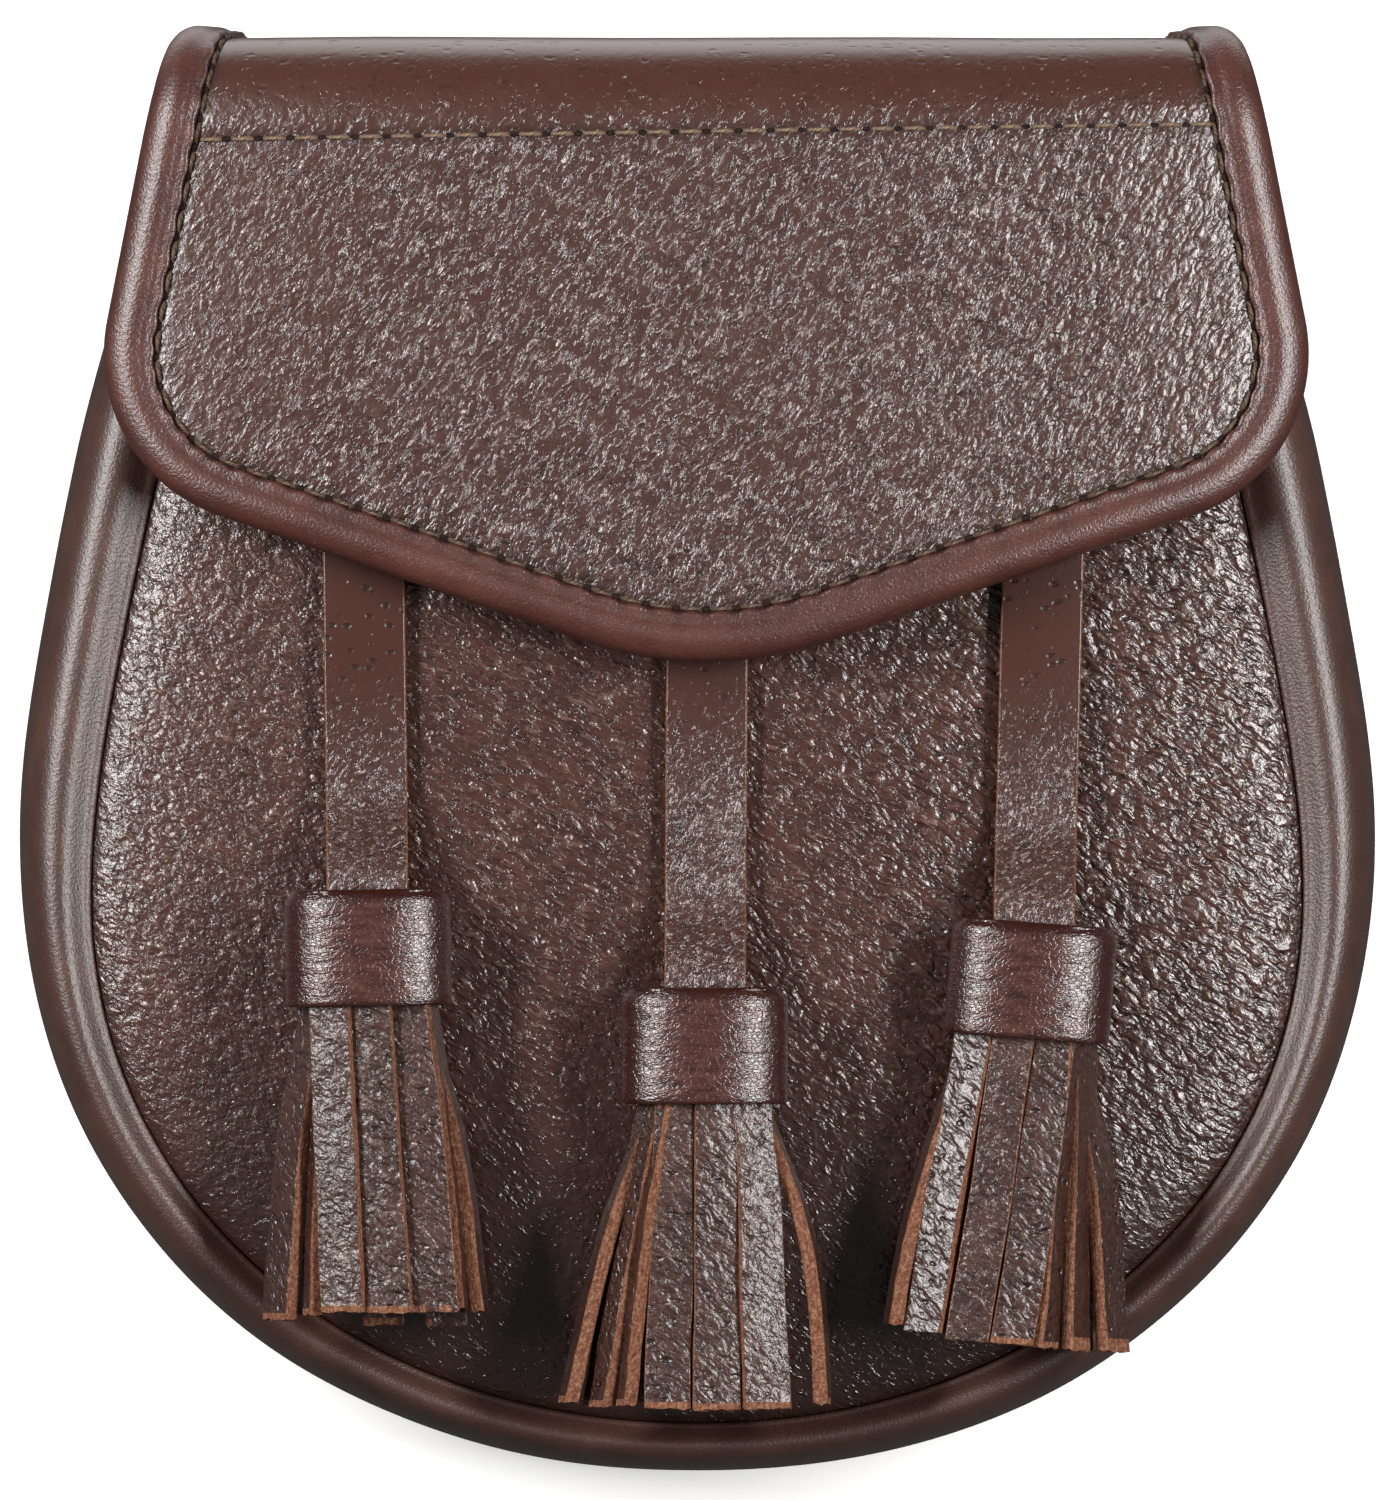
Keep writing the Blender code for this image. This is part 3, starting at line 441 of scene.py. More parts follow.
def collapsed(ring):
    """A ring drawn together to its middle, which closes an open end."""
    middle = sum((point for point in ring[:-1]), Vector()) / (len(ring) - 1)
    return [middle.copy() for _ in ring]


def apply_modifier(piece, name, kind, **settings):
    """Adds a modifier with these settings and applies it."""
    modifier = piece.modifiers.new(name, kind)
    for setting, value in settings.items():
        setattr(modifier, setting, value)
    select_only(piece)
    bpy.ops.object.modifier_apply(modifier=name)


def thicken(piece, wall):
    """Gives a skin its leather's thickness, inwards."""
    apply_modifier(piece, "leather", "SOLIDIFY", thickness=wall, offset=-1, use_even_offset=False)


def join(name, pieces):
    """One piece of several."""
    bpy.ops.object.select_all(action="DESELECT")
    for piece in pieces:
        piece.select_set(True)
    bpy.context.view_layer.objects.active = pieces[0]
    bpy.ops.object.join()
    joined = bpy.context.object
    joined.name = joined.data.name = name
    return joined


def copies(name, master, frames):
    """Copies of a small master shape, one in each frame, as one piece."""
    made = []
    for matrix in frames:
        copy = master.copy()
        copy.data = master.data.copy()
        copy.data.transform(matrix)
        bpy.context.scene.collection.objects.link(copy)
        made.append(copy)
    return join(name, made)


def dress(piece, materials, slot, *nodes, smooth_below=40):
    """Shades the piece, gives it its materials and puts it in the place of its nodes."""
    select_only(piece)
    bpy.ops.object.shade_smooth_by_angle(angle=math.radians(smooth_below))
    if not piece.data.materials:
        for material in materials:
            piece.data.materials.append(material)
    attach(piece, "root")
    if nodes:
        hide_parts(*nodes)


# --- Materials ---


def colour(hex_value):
    """An sRGB hex colour as linear red, green, blue and alpha."""
    channels = []
    for start in (1, 3, 5):
        value = int(hex_value[start : start + 2], 16) / 255
        channels.append(value / 12.92 if value <= 0.04045 else ((value + 0.055) / 1.055) ** 2.4)
    return (*channels, 1.0)


def add_node(tree, kind, sockets, stops=(), output=0, **settings):
    """Adds a node, sets its properties and its colour ramp's stops, gives its sockets, in order
    or by name, a value or a link, and returns one of its outputs."""
    node = tree.nodes.new("ShaderNode" + kind)
    for name, value in settings.items():
        setattr(node, name, value)
    for socket, value in sockets.items() if isinstance(sockets, dict) else enumerate(sockets):
        if isinstance(value, bpy.types.NodeSocket):
            tree.links.new(value, node.inputs[socket])
        else:
            node.inputs[socket].default_value = value
    if stops:
        elements = node.color_ramp.elements
        while len(elements) < len(stops):
            elements.new(1.0)
        for element, (position, hex_value) in zip(elements, stops):
            element.position = position
            element.color = colour(hex_value)
    return node.outputs[output]


def new_material(name, roughness, specular=0.5):
    """A material, its tree, its shader and the piece's own coordinates."""
    material = bpy.data.materials.new(name)
    material.use_nodes = True
    tree = material.node_tree
    shader = tree.nodes["Principled BSDF"]
    shader.inputs["Roughness"].default_value = roughness
    shader.inputs["Specular IOR Level"].default_value = specular
    return material, tree, shader, add_node(tree, "TexCoord", {}, output="Object")


def total(tree, *parts):
    """The sum of these pairs of a value and its weight."""
    height = 0.0
    for value, weight in parts:
        height = add_node(tree, "Math", (value, weight, height), operation="MULTIPLY_ADD")
    return height


def finish_material(tree, shader, pattern, stops, height, coats=(), depth=1 * MM):
    """Dyes the surface by a pattern, from the dark stop to the light one, lays each coat over
    it where its mask is 1, and links the height as a bump, where a height of 1 is this depth."""
    body = add_node(tree, "ValToRGB", {"Fac": pattern}, stops)
    for mask, hex_value in coats:
        layers = {0: mask, 6: body, 7: colour(hex_value)}
        body = add_node(tree, "Mix", layers, output=2, data_type="RGBA")
    bump = add_node(tree, "Bump", {"Strength": 1.0, "Distance": depth, "Height": height})
    tree.links.new(body, shader.inputs["Base Color"])
    tree.links.new(bump, shader.inputs["Normal"])


# How a grain is embossed: heights and cell sizes in millimetres, the lean in degrees. Ridges
# stand out of the flat level, rolls and pores cover all of it, and folds and pits come where
# the mesh is marked as wrinkled. Where it is marked as plain, only the tallest specks and a
# share of the pits, plain_pits, are left, and where it is marked as fine, pores take over.
Grain = namedtuple("Grain", "cell stretch lean ridge flat roll pore fold pit plain_pits roughness")

FLAP_GRAIN = Grain(
    cell=0.82, stretch=2.6, lean=58, ridge=1.5, flat=0.58, roll=0.3,
    pore=0.11, fold=0.2, pit=0.12, plain_pits=0.4, roughness=0.32,
)
FRONT_GRAIN = Grain(
    cell=0.85, stretch=2.3, lean=-34, ridge=1.2, flat=0.56, roll=0.3,
    pore=0.08, fold=0.22, pit=0.1, plain_pits=0.5, roughness=0.3,
)
STRAP_GRAIN = Grain(
    cell=0.7, stretch=1.8, lean=60, ridge=0.9, flat=0.56, roll=0.3,
    pore=0.16, fold=0.22, pit=0.13, plain_pits=0.7, roughness=0.32,
)
STRIP_GRAIN = Grain(
    cell=0.75, stretch=1.5, lean=-40, ridge=0.6, flat=0.57, roll=0.28,
    pore=0.12, fold=0.17, pit=0.2, plain_pits=0.5, roughness=0.35,
)

LyingPattern = namedtuple("LyingPattern", "stretch cell detail")

# Soft patterns that lie along the lean, and how far the lines of the grain stray from it.
GRAIN_ROLLS = LyingPattern(1.3, 1.3 * MM, 1.0)
GRAIN_SWELLS = LyingPattern(2.8, 2.1 * MM, 2.5)
GRAIN_HAIRS = LyingPattern(1.7, 0.75 * MM, 1.5)
GRAIN_STRAY = Waves(1.3 * MM, 3 * MM)
RIDGES_APART = (0.31, 0.17, 0.0)  # so far that two sets of ridges have nothing in common
FLAT_WHERE_PLAIN = 0.76  # the flat level there, which few ridges reach
RELIEF_LOST_WHERE_PLAIN = 0.93
RIDGES_LOST_WHERE_FINE = 0.4
RIDGES_LOST_IN_WRINKLES = 0.8
PORES_GAINED_WHERE_FINE = 0.6
GRAIN_PORE = 0.5 * MM  # real pores are usually 0.2 mm or less, drawn coarser so that they show
GRAIN_PIT = 1.9 * MM
PIT_LIE = (1.5, 0.9, 1)
HAIR_HOLE_DEPTH = 0.07
DYE_PATCH = 6 * MM
# Painted shade, laid in the creases, pits and hair holes.
PAINTED_HOLLOW_SHADE = "#1a0d0a"
# Painted shade, laid where a piece's mesh marks it.
PAINTED_SHADE_DARK = "#1c0f0b"


def grained_leather(name, grain, tones, plain_tone, painted_highlight_tone):
    """Cowhide plated with a pigskin grain, dyed brown and waxed: low ridges that lean one way,
    whose sides glint. Where the hide was pulled flat only the tallest specks are left. A paler
    painted highlight lies on the ridge tops, and painted shade lies in the creases, pits and hair
    holes and where the mesh marks it."""
    material, tree, shader, place = new_material(name, grain.roughness, specular=1.0)
    plain, wrinkle, fine, painted_shade = (
        add_node(tree, "Attribute", {}, output="Fac", attribute_name=mark)
        for mark in ("plain", "wrinkle", "fine", "painted_shade")
    )
    stray = {"Vector": place, "Scale": 1 / GRAIN_STRAY.size, "Detail": 1.0}
    stray = add_node(tree, "TexNoise", stray, output="Color")
    bend = (stray, (GRAIN_STRAY.height,) * 3, place)
    bent = add_node(tree, "VectorMath", bend, operation="MULTIPLY_ADD")
    lean = (0, 0, math.radians(grain.lean))

    lie = {"Vector": bent, "Scale": (grain.stretch, 1, 1), "Rotation": lean}
    along = add_node(tree, "Mapping", lie, vector_type="TEXTURE")
    shifted = add_node(tree, "VectorMath", (along, RIDGES_APART), operation="ADD")
    ridges = []
    for vector in (along, shifted):
        cell = {"Vector": vector, "Scale": 1 / (grain.cell * MM), "Detail": 1.5}
        ridges.append(add_node(tree, "TexNoise", cell | {"Roughness": 0.45}))
    ridges = add_node(tree, "Math", ridges, operation="MAXIMUM")

    lying = []
    for pattern in (GRAIN_ROLLS, GRAIN_SWELLS, GRAIN_HAIRS):
        lie = {"Vector": bent, "Scale": (pattern.stretch, 1, 1), "Rotation": lean}
        vector = add_node(tree, "Mapping", lie, vector_type="TEXTURE")
        cell = {"Vector": vector, "Scale": 1 / pattern.cell, "Detail": pattern.detail}
        lying.append(add_node(tree, "TexNoise", cell))
    rolls, swells, hairs = lying
    cell = {"Vector": place, "Scale": 1 / GRAIN_PORE, "Detail": 2.0, "Roughness": 0.6}
    pores = add_node(tree, "TexNoise", cell)
    dashes = add_node(tree, "Mapping", {"Vector": bent, "Scale": PIT_LIE}, vector_type="TEXTURE")
    cell = {"Vector": dashes, "Scale": 1 / GRAIN_PIT}
    from_dash = add_node(tree, "TexVoronoi", cell, output="Distance", feature="F1")

    embossed = total(tree, (plain, -RELIEF_LOST_WHERE_PLAIN), (1.0, 1.0))
    from_middle = add_node(tree, "Math", (swells, 0.5), operation="SUBTRACT")
    middle = add_node(tree, "Math", (from_middle,), operation="ABSOLUTE")
    flat_level = total(tree, (plain, FLAT_WHERE_PLAIN - grain.flat), (1.0, grain.flat))
    above = add_node(tree, "Math", (ridges, flat_level), operation="SUBTRACT")
    steps = (
        {"Value": middle, "From Min": -0.03, "From Max": 0.15},
        {"Value": from_dash, "From Min": 0.3, "From Max": 0.12},
        {"Value": hairs, "From Min": 0.4, "From Max": 0.33},
        # Painted shade down in the creases, where they are marked as wrinkled.
        {"Value": middle, "From Min": 0.06, "From Max": 0.0, "To Max": 0.55},
        # A painted highlight on the ridge tops.
        {"Value": above, "From Min": 0.02, "From Max": 0.2, "To Max": 0.5},
    )
    folds, pits, holes, hollow, crest_highlight = (
        add_node(tree, "MapRange", step, interpolation_type="SMOOTHSTEP") for step in steps
    )
    standing = add_node(tree, "Math", (ridges, flat_level, 0.06), operation="SMOOTH_MAX")
    left_pits = add_node(tree, "Math", (plain, grain.plain_pits), operation="MULTIPLY")
    dashed = add_node(tree, "Math", (wrinkle, left_pits), operation="MAXIMUM")
    products = (
        (holes, embossed),
        (pits, dashed),
        (standing, grain.ridge),
        (folds, grain.fold),
        (hollow, wrinkle),
    )
    hair_holes, pitted, embossing, creases, crease_shade = (
        add_node(tree, "Math", product, operation="MULTIPLY") for product in products
    )
    lost = ((fine, -RIDGES_LOST_WHERE_FINE), (wrinkle, -RIDGES_LOST_IN_WRINKLES))
    raised = total(tree, *lost, (1.0, 1.0))
    gained = (fine, PORES_GAINED_WHERE_FINE * grain.pore)
    porous = total(tree, gained, (1.0, grain.pore))
    ground = total(tree, (rolls, grain.roll), (pores, porous))
    height = total(
        tree,
        (embossing, raised),
        (ground, embossed),
        (creases, wrinkle),
        (pitted, -grain.pit),
        (hair_holes, -HAIR_HOLE_DEPTH),
    )

    cell = {"Vector": place, "Scale": 1 / DYE_PATCH, "Detail": 3.0, "Roughness": 0.6}
    patches = add_node(tree, "TexNoise", cell)
    # Coats over the dye: the plain tone, a painted highlight on the ridge tops, painted shade in the
    # creases, pits and hair holes, and painted shade where the mesh marks it.
    coats = (
        (plain, plain_tone),
        (crest_highlight, painted_highlight_tone),
        (add_node(tree, "Math", (crease_shade, pitted), operation="MAXIMUM"), PAINTED_HOLLOW_SHADE),
        (add_node(tree, "Math", (hair_holes, 0.6), operation="MULTIPLY"), PAINTED_HOLLOW_SHADE),
        (painted_shade, PAINTED_SHADE_DARK),
    )
    finish_material(tree, shader, patches, list(zip((0.34, 0.5, 0.64), tones)), height, coats)
    return material


def smooth_leather(name, tones, fleck_tone, painted_shade_tone, roughness, relief):
    """Bridle butt leather, curried with tallow and rubbed smooth: an even satin with a fine
    haircell, paler in the flecks that rubbing leaves, and darker with painted shade where the
    mesh marks it, on its rims and in its creases and grooves."""
    material, tree, shader, place = new_material(name, roughness, specular=1.0)
    # A real haircell is usually finer, and is drawn coarser so that it shows.
    cell = {"Vector": place, "Scale": 1 / (0.42 * MM), "Detail": 2.0, "Roughness": 0.6}
    haircell = add_node(tree, "TexNoise", cell)
    cell = {"Vector": place, "Scale": 1 / (9 * MM), "Detail": 3.0, "Roughness": 0.6}
    patches = add_node(tree, "TexNoise", cell)
    unrolled = add_node(tree, "UVMap", {}, uv_map="UVMap")
    lie = {"Vector": unrolled, "Scale": (1.1 * MM, 0.7 * MM, 1)}
    lie = add_node(tree, "Mapping", lie, vector_type="TEXTURE")
    cell = {"Vector": lie, "Scale": 1.0, "Detail": 2.0, "Roughness": 0.7}
    flecks = add_node(tree, "TexNoise", cell)
    step = {"Value": flecks, "From Min": 0.56, "From Max": 0.78, "To Max": 0.45}
    worn = add_node(tree, "MapRange", step, interpolation_type="SMOOTHSTEP")
    painted_shade = add_node(tree, "Attribute", {}, output="Fac", attribute_name="painted_shade")
    height = total(tree, (haircell, relief), (flecks, 0.03))
    coats = ((worn, fleck_tone), (painted_shade, painted_shade_tone))
    finish_material(tree, shader, patches, list(zip((0.3, 0.5, 0.7), tones)), height, coats)
    return material


def creased_leather(name, tones, painted_shade_tone):
    """Thin glazed calf drawn tight round a form: a hard shine, broken by a fine net of cracks
    and by soft wrinkles that run across. Its colour is darker down in the wrinkles and where
    the mesh marks it: painted shade."""
    material, tree, shader, place = new_material(name, 0.28, specular=1.0)
    lie = {"Vector": place, "Scale": (2.8, 1, 2.8)}
    across = add_node(tree, "Mapping", lie, vector_type="TEXTURE")
    cell = {"Vector": across, "Scale": 1 / (1.1 * MM), "Detail": 4.0, "Roughness": 0.6}
    wrinkles = add_node(tree, "TexNoise", cell)
    lie = {"Vector": place, "Scale": (1.8, 1, 1.8)}
    net = add_node(tree, "Mapping", lie, vector_type="TEXTURE")
    # The cracks are as far apart as they need to be to show. They weren't measured.
    cell = {"Vector": net, "Scale": 1 / (0.5 * MM)}
    edges = add_node(tree, "TexVoronoi", cell, output="Distance", feature="DISTANCE_TO_EDGE")
    step = {"Value": edges, "From Min": 0.0, "From Max": 0.16}
    cracks = add_node(tree, "MapRange", step, interpolation_type="SMOOTHSTEP")
    painted_shade = add_node(tree, "Attribute", {}, output="Fac", attribute_name="painted_shade")
    height = total(tree, (wrinkles, 0.3), (cracks, 0.026))
    stops = list(zip((0.32, 0.5, 0.7), tones))
    # The colour follows the wrinkles, darker down in them: painted shade.
    finish_material(tree, shader, wrinkles, stops, height, ((painted_shade, painted_shade_tone),))
    return material


def raw_edge(name, tones):
    """The cut edge of veg-tanned leather: matt orange-brown fibres that stand out of the cut."""
    material, tree, shader, place = new_material(name, 0.9, specular=0.2)
    # Real fibres are usually under 0.1 mm thick, and are drawn coarser so that they show.
    unrolled = add_node(tree, "UVMap", {}, uv_map="UVMap")
    lie = {"Vector": unrolled, "Scale": (0.35 * MM, 1.6 * MM, 1)}
    lie = add_node(tree, "Mapping", lie, vector_type="TEXTURE")
    cell = {"Vector": lie, "Scale": 1.0, "Detail": 4.0, "Roughness": 0.7}
    fibres = add_node(tree, "TexNoise", cell)
    cell = {"Vector": place, "Scale": 1 / (0.5 * MM), "Detail": 2.0, "Roughness": 0.7}
    tufts = add_node(tree, "TexNoise", cell)
    fluff = total(tree, (fibres, 0.5), (tufts, 0.5))
    stops = list(zip((0.36, 0.5, 0.64), tones))
    finish_material(tree, shader, fluff, stops, fluff, depth=0.45 * MM)
    return material


def linen_thread(name, tones):
    """Waxed two-ply linen thread: dull plies with dark wax between, straw-coloured, or brown
    in a darker copy that is painted shade.
    """
    material, tree, shader, _ = new_material(name, 0.7, specular=0.3)
    # The fibres lie askew, as the plies are twisted. They are drawn coarser than real ones.
    unrolled = add_node(tree, "UVMap", {}, uv_map="UVMap")
    lie = {"Vector": unrolled, "Scale": (2 * MM, 0.22 * MM, 1), "Rotation": (0, 0, 0.9)}
    lie = add_node(tree, "Mapping", lie, vector_type="TEXTURE")
    cell = {"Vector": lie, "Scale": 1.0, "Detail": 3.0, "Roughness": 0.6}
    fibres = add_node(tree, "TexNoise", cell)
    stops = list(zip((0.32, 0.5, 0.66), tones))
    finish_material(tree, shader, fibres, stops, fibres, depth=0.12 * MM)
    return material


def painted_hole_shade(name):
    """Painted shade for the inside of an awl hole: bare dark leather with no shine."""
    material, tree, shader, place = new_material(name, 0.8, specular=0.2)
    cell = {"Vector": place, "Scale": 1 / (0.4 * MM), "Detail": 1.0}
    crease_shade = add_node(tree, "TexNoise", cell)
    stops = ((0.35, "#120907"), (0.65, "#2b1812"))
    finish_material(tree, shader, crease_shade, stops, crease_shade, depth=0.1 * MM)
    return material


def turned_brass(name):
    """Turned and lacquered brass: a yellow metal, a little cloudy under its lacquer."""
    material, tree, shader, place = new_material(name, 0.3)
    shader.inputs["Metallic"].default_value = 1.0
    cell = {"Vector": place, "Scale": 1 / (0.9 * MM), "Detail": 2.0}
    clouding = add_node(tree, "TexNoise", cell)
    stops = ((0.3, "#a5813f"), (0.7, "#cfae66"))
    finish_material(tree, shader, clouding, stops, clouding, depth=0.02 * MM)
    return material


# --- The side band ---

BandPoint = namedtuple("BandPoint", "across rise")

# The roll from the seam to the back: across is 0 at the outer edge and 1 at the seam, and
# rise is 0 at the back and 1 at the crest.
BAND_ROLL = (
    BandPoint(1.0, 0.79),
    BandPoint(1.0, 0.87),
    BandPoint(0.985, 0.91),
    BandPoint(0.94, 0.925),
    BandPoint(0.88, 0.932),
    BandPoint(0.8, 0.953),
    BandPoint(0.68, 0.986),
    BandPoint(0.55, 1.0),
    BandPoint(0.4, 0.985),
    BandPoint(0.25, 0.93),
    BandPoint(0.12, 0.82),
    BandPoint(0.035, 0.65),
    BandPoint(0.0, 0.45),
    BandPoint(0.015, 0.27),
    BandPoint(0.07, 0.12),
    BandPoint(0.18, 0.03),
    BandPoint(0.32, 0.0),
    BandPoint(0.5, 0.0),
)
BAND_PUFF = Waves(0.3 * MM, 28 * MM)
# Where painted shade lies on the roll: in the seam's crease, by across, and on its outer side below
# the crest, by rise.
BAND_SEAM_CREASE = Fade(0.95, 0.05)
BAND_RIM_SHADE_ENDS = Fade(0.5, 0.4)
# Its UV map counts more than the real 0.48 and 0.042, so its flecks are drawn finer.
BAND_SPAN = (0.52, 0.06)


def make_side_band(material):
    """The puffy roll of smooth leather round both sides and the bottom."""
    pairs = outline_pairs(64, 170)
    rows, marks = [], []
    for point in curved(BAND_ROLL, 3):
        row, row_marks = [], []
        for outer, seam in pairs:
            low = back_z(outer.y) + PANEL_WALL + 1.5 * GAP
            place = outer.lerp(seam, point.x)
            z = low + (BAND_CREST_Z - low) * point.y
            near_back = (BAND_CREST_Z - z) / (BAND_CREST_Z - back_z(outer.y))
            z += (back_z(place.y) - back_z(outer.y)) * near_back
            puff = waving((*place, 0), BAND_PUFF) * math.sin(math.pi * min(1, point.y))
            inwards = (seam - outer).normalized() * puff
            row.append(Vector((place.x - inwards.x, place.y - inwards.y, z + puff * 0.4)))
            # Painted shade down in the seam's crease and on the lower outer part of the roll.
            crease = 0.5 * faded(point.x, BAND_SEAM_CREASE)
            rim = 0.75 * (1 - faded(point.y, BAND_RIM_SHADE_ENDS)) if point.x < 0.5 else 0
            row_marks.append({"painted_shade": max(crease, rim)})
        rows.append(row)
        marks.append(row_marks)
    band = skin("side_band", rows, span=BAND_SPAN, marks=marks)
    thicken(band, BAND_WALL)
    dress(band, [material], "band_leather", "gusset")


# --- The front panel ---

FRONT_RINGS = 84
MOUTH_STEPS = 110
FRONT_SWELL = Waves(0.35 * MM, 30 * MM)

# By the reach from the front's middle, which is 1 at its seam.
FRONT_HELD = Fade(0.9, 0.1)
# Painted shade along the seam's crease.
FRONT_SEAM_SHADE = Fade(0.985, 0.015)

# By X and Y.
FRONT_FOLDS_TO_RIGHT = Fade(-2 * MM, 46 * MM)
FRONT_FOLDS_UP = Fade(-75 * MM, 35 * MM)
FRONT_FOLDS_ALL_OVER = Fade(-70 * MM, 40 * MM)
FRONT_FINE_ENDS = Fade(-62 * MM, 34 * MM)
FRONT_PLAIN_BELOW = Fade(-30 * MM, -40 * MM)
# Painted shade low down.
FRONT_SHADE_BELOW = Fade(-30 * MM, -60 * MM)


def front_marks(place, reach):
    """Folds to the right, fine pores to the left, plainer low down, and painted shade low down
    and along the seam.
    """
    folded = faded(place.x, FRONT_FOLDS_TO_RIGHT) * faded(place.y, FRONT_FOLDS_UP)
    to_left = 1 - faded(place.x, FRONT_FINE_ENDS)
    all_over = (0.5 - 0.3 * to_left) * faded(place.y, FRONT_FOLDS_ALL_OVER)
    # Painted shade, low down and along the seam's crease.
    low_shade = 0.5 * faded(place.y, FRONT_SHADE_BELOW)
    return {
        "wrinkle": max(folded, all_over),
        "fine": to_left,
        "plain": 0.35 * faded(place.y, FRONT_PLAIN_BELOW) * (1 - folded),
        "painted_shade": max(low_shade, 0.35 * faded(reach, FRONT_SEAM_SHADE)),
    }


def make_front(material):
    """The domed front: rings that close in from the seam and the mouth to the middle."""
    seam = offset_line([seam for _, seam in outline_pairs(50, 150)], 0.05 * MM)
    left, right = seam[-1], seam[0]
    mouth = []
    for i in range(1, MOUTH_STEPS):
        part = i / MOUTH_STEPS
        dip = MOUTH_DIP * math.sin(math.pi * part) ** 1.5
        mouth.append(Vector((left.x + (right.x - left.x) * part, left.y - dip)))
    outline = seam + mouth + [seam[0]]
    rows, marks = [], []
    for ring in range(FRONT_RINGS + 1):
        reach = 1 - (1 - ring / FRONT_RINGS) ** 1.5
        places = [PANEL_MIDDLE.lerp(point, reach) for point in outline]
        row = []
        for place in places:
            swell = (1 - faded(reach, FRONT_HELD)) * waving((*place, 0), FRONT_SWELL)
            row.append(Vector((*place, front_z(*place) + swell)))
        rows.append(row)
        marks.append([front_marks(place, reach) for place in places])
    front = skin("front_leather", rows, marks=marks)
    thicken(front, PANEL_WALL - 0.2 * MM)
    dress(front, [material], "grained_leather", "front_panel")


# --- The flap ---

FLAP_HALF_COLUMNS = 116
FLAP_ROW_STEP = 0.75 * MM
FOLD_ROW_STEP = 1.5 * MM
FLAP_TURN_STEP = math.radians(2)
FLAP_BORDER_POINTS = 700
CROSS_LINE = (Vector((-71.5 * MM, 72.7 * MM)), Vector((71.5 * MM, 74.9 * MM)))

FLAP_SWELL = Waves(0.22 * MM, 30 * MM)
FLAP_RIPPLE = Waves(0.02 * MM, 7 * MM)

# The grooves where it is stitched across and where its binding presses it.
CROSS_GROOVE_DEPTH = 0.35 * MM
CROSS_GROOVE_WIDTH = 0.9 * MM
BOUND_GROOVE_DEPTH = 0.22 * MM
BOUND_GROOVE_WIDTH = 1.1 * MM
BOUND_GROOVE_INSET = 7.2 * MM

# By the distance from its tip, and by X.
FLAP_FOLD_PLAIN = Fade(FLAP_FRONT - 1 * MM, 16 * MM)
FLAP_TIP_FOLDS = Fade(38 * MM, -30 * MM)
FLAP_SIDES_PLAIN = Fade(35 * MM, 40 * MM)
FLAP_RIGHT_FOLDS = Fade(0, 55 * MM)


def cross_line_s(x):
    """How far from the tip the stitched line across the top of the flap runs."""
    start, end = CROSS_LINE
    return start.lerp(end, (x - start.x) / (end.x - start.x)).y


def flap_plan():
    """Rows of flat places, from the flap's pointed edge up and over the fold to its sewn end."""
    outline = offset_line(flap_outline(math.radians(3)), BINDING_WALL + GAP)
    outline[0].y = outline[-1].y = FLAP_LENGTH
    right = [point for point in outline if point.x >= -1e-9]
    turn_at = max(range(len(right)), key=lambda i: right[i].x - right[i].y)
    side, lower = right[: turn_at + 1], right[turn_at:][::-1]
    lower[0] = Vector((0.0, lower[0].y))
    edge = spaced(lower, FLAP_HALF_COLUMNS)
    edge[-1] = side[-1]
    widest, tip_s = edge[-1].x, edge[0].y
    short = round((FLAP_FIRST_FULL_ROW - tip_s) / FLAP_ROW_STEP)
    plan = [(i / short, None) for i in range(short)]
    s = FLAP_FIRST_FULL_ROW
    while s < FLAP_LENGTH - FOLD_ROW_STEP / 2:
        plan.append((1.0, s))
        s += FLAP_ROW_STEP if s < FLAP_FRONT + 4 * MM else FOLD_ROW_STEP
    plan.append((1.0, FLAP_LENGTH))
    rows = []
    for part, full_s in plan:
        side_s = full_s or edge[-1].y + (FLAP_FIRST_FULL_ROW - edge[-1].y) * part
        middle_s = full_s or tip_s + (FLAP_FIRST_FULL_ROW - tip_s) * part
        half_width = along_line(side, side_s) if side_s > edge[-1].y else widest
        row = []
        for column in range(-FLAP_HALF_COLUMNS, FLAP_HALF_COLUMNS + 1):
            corner = edge[abs(column)]
            across = corner.x / widest
            straight = tip_s + (edge[-1].y - tip_s) * across
            s = middle_s + (side_s - middle_s) * across + (corner.y - straight) * (1 - part)
            row.append(Vector((math.copysign(half_width * across, column), s)))
        rows.append(row)
    return rows


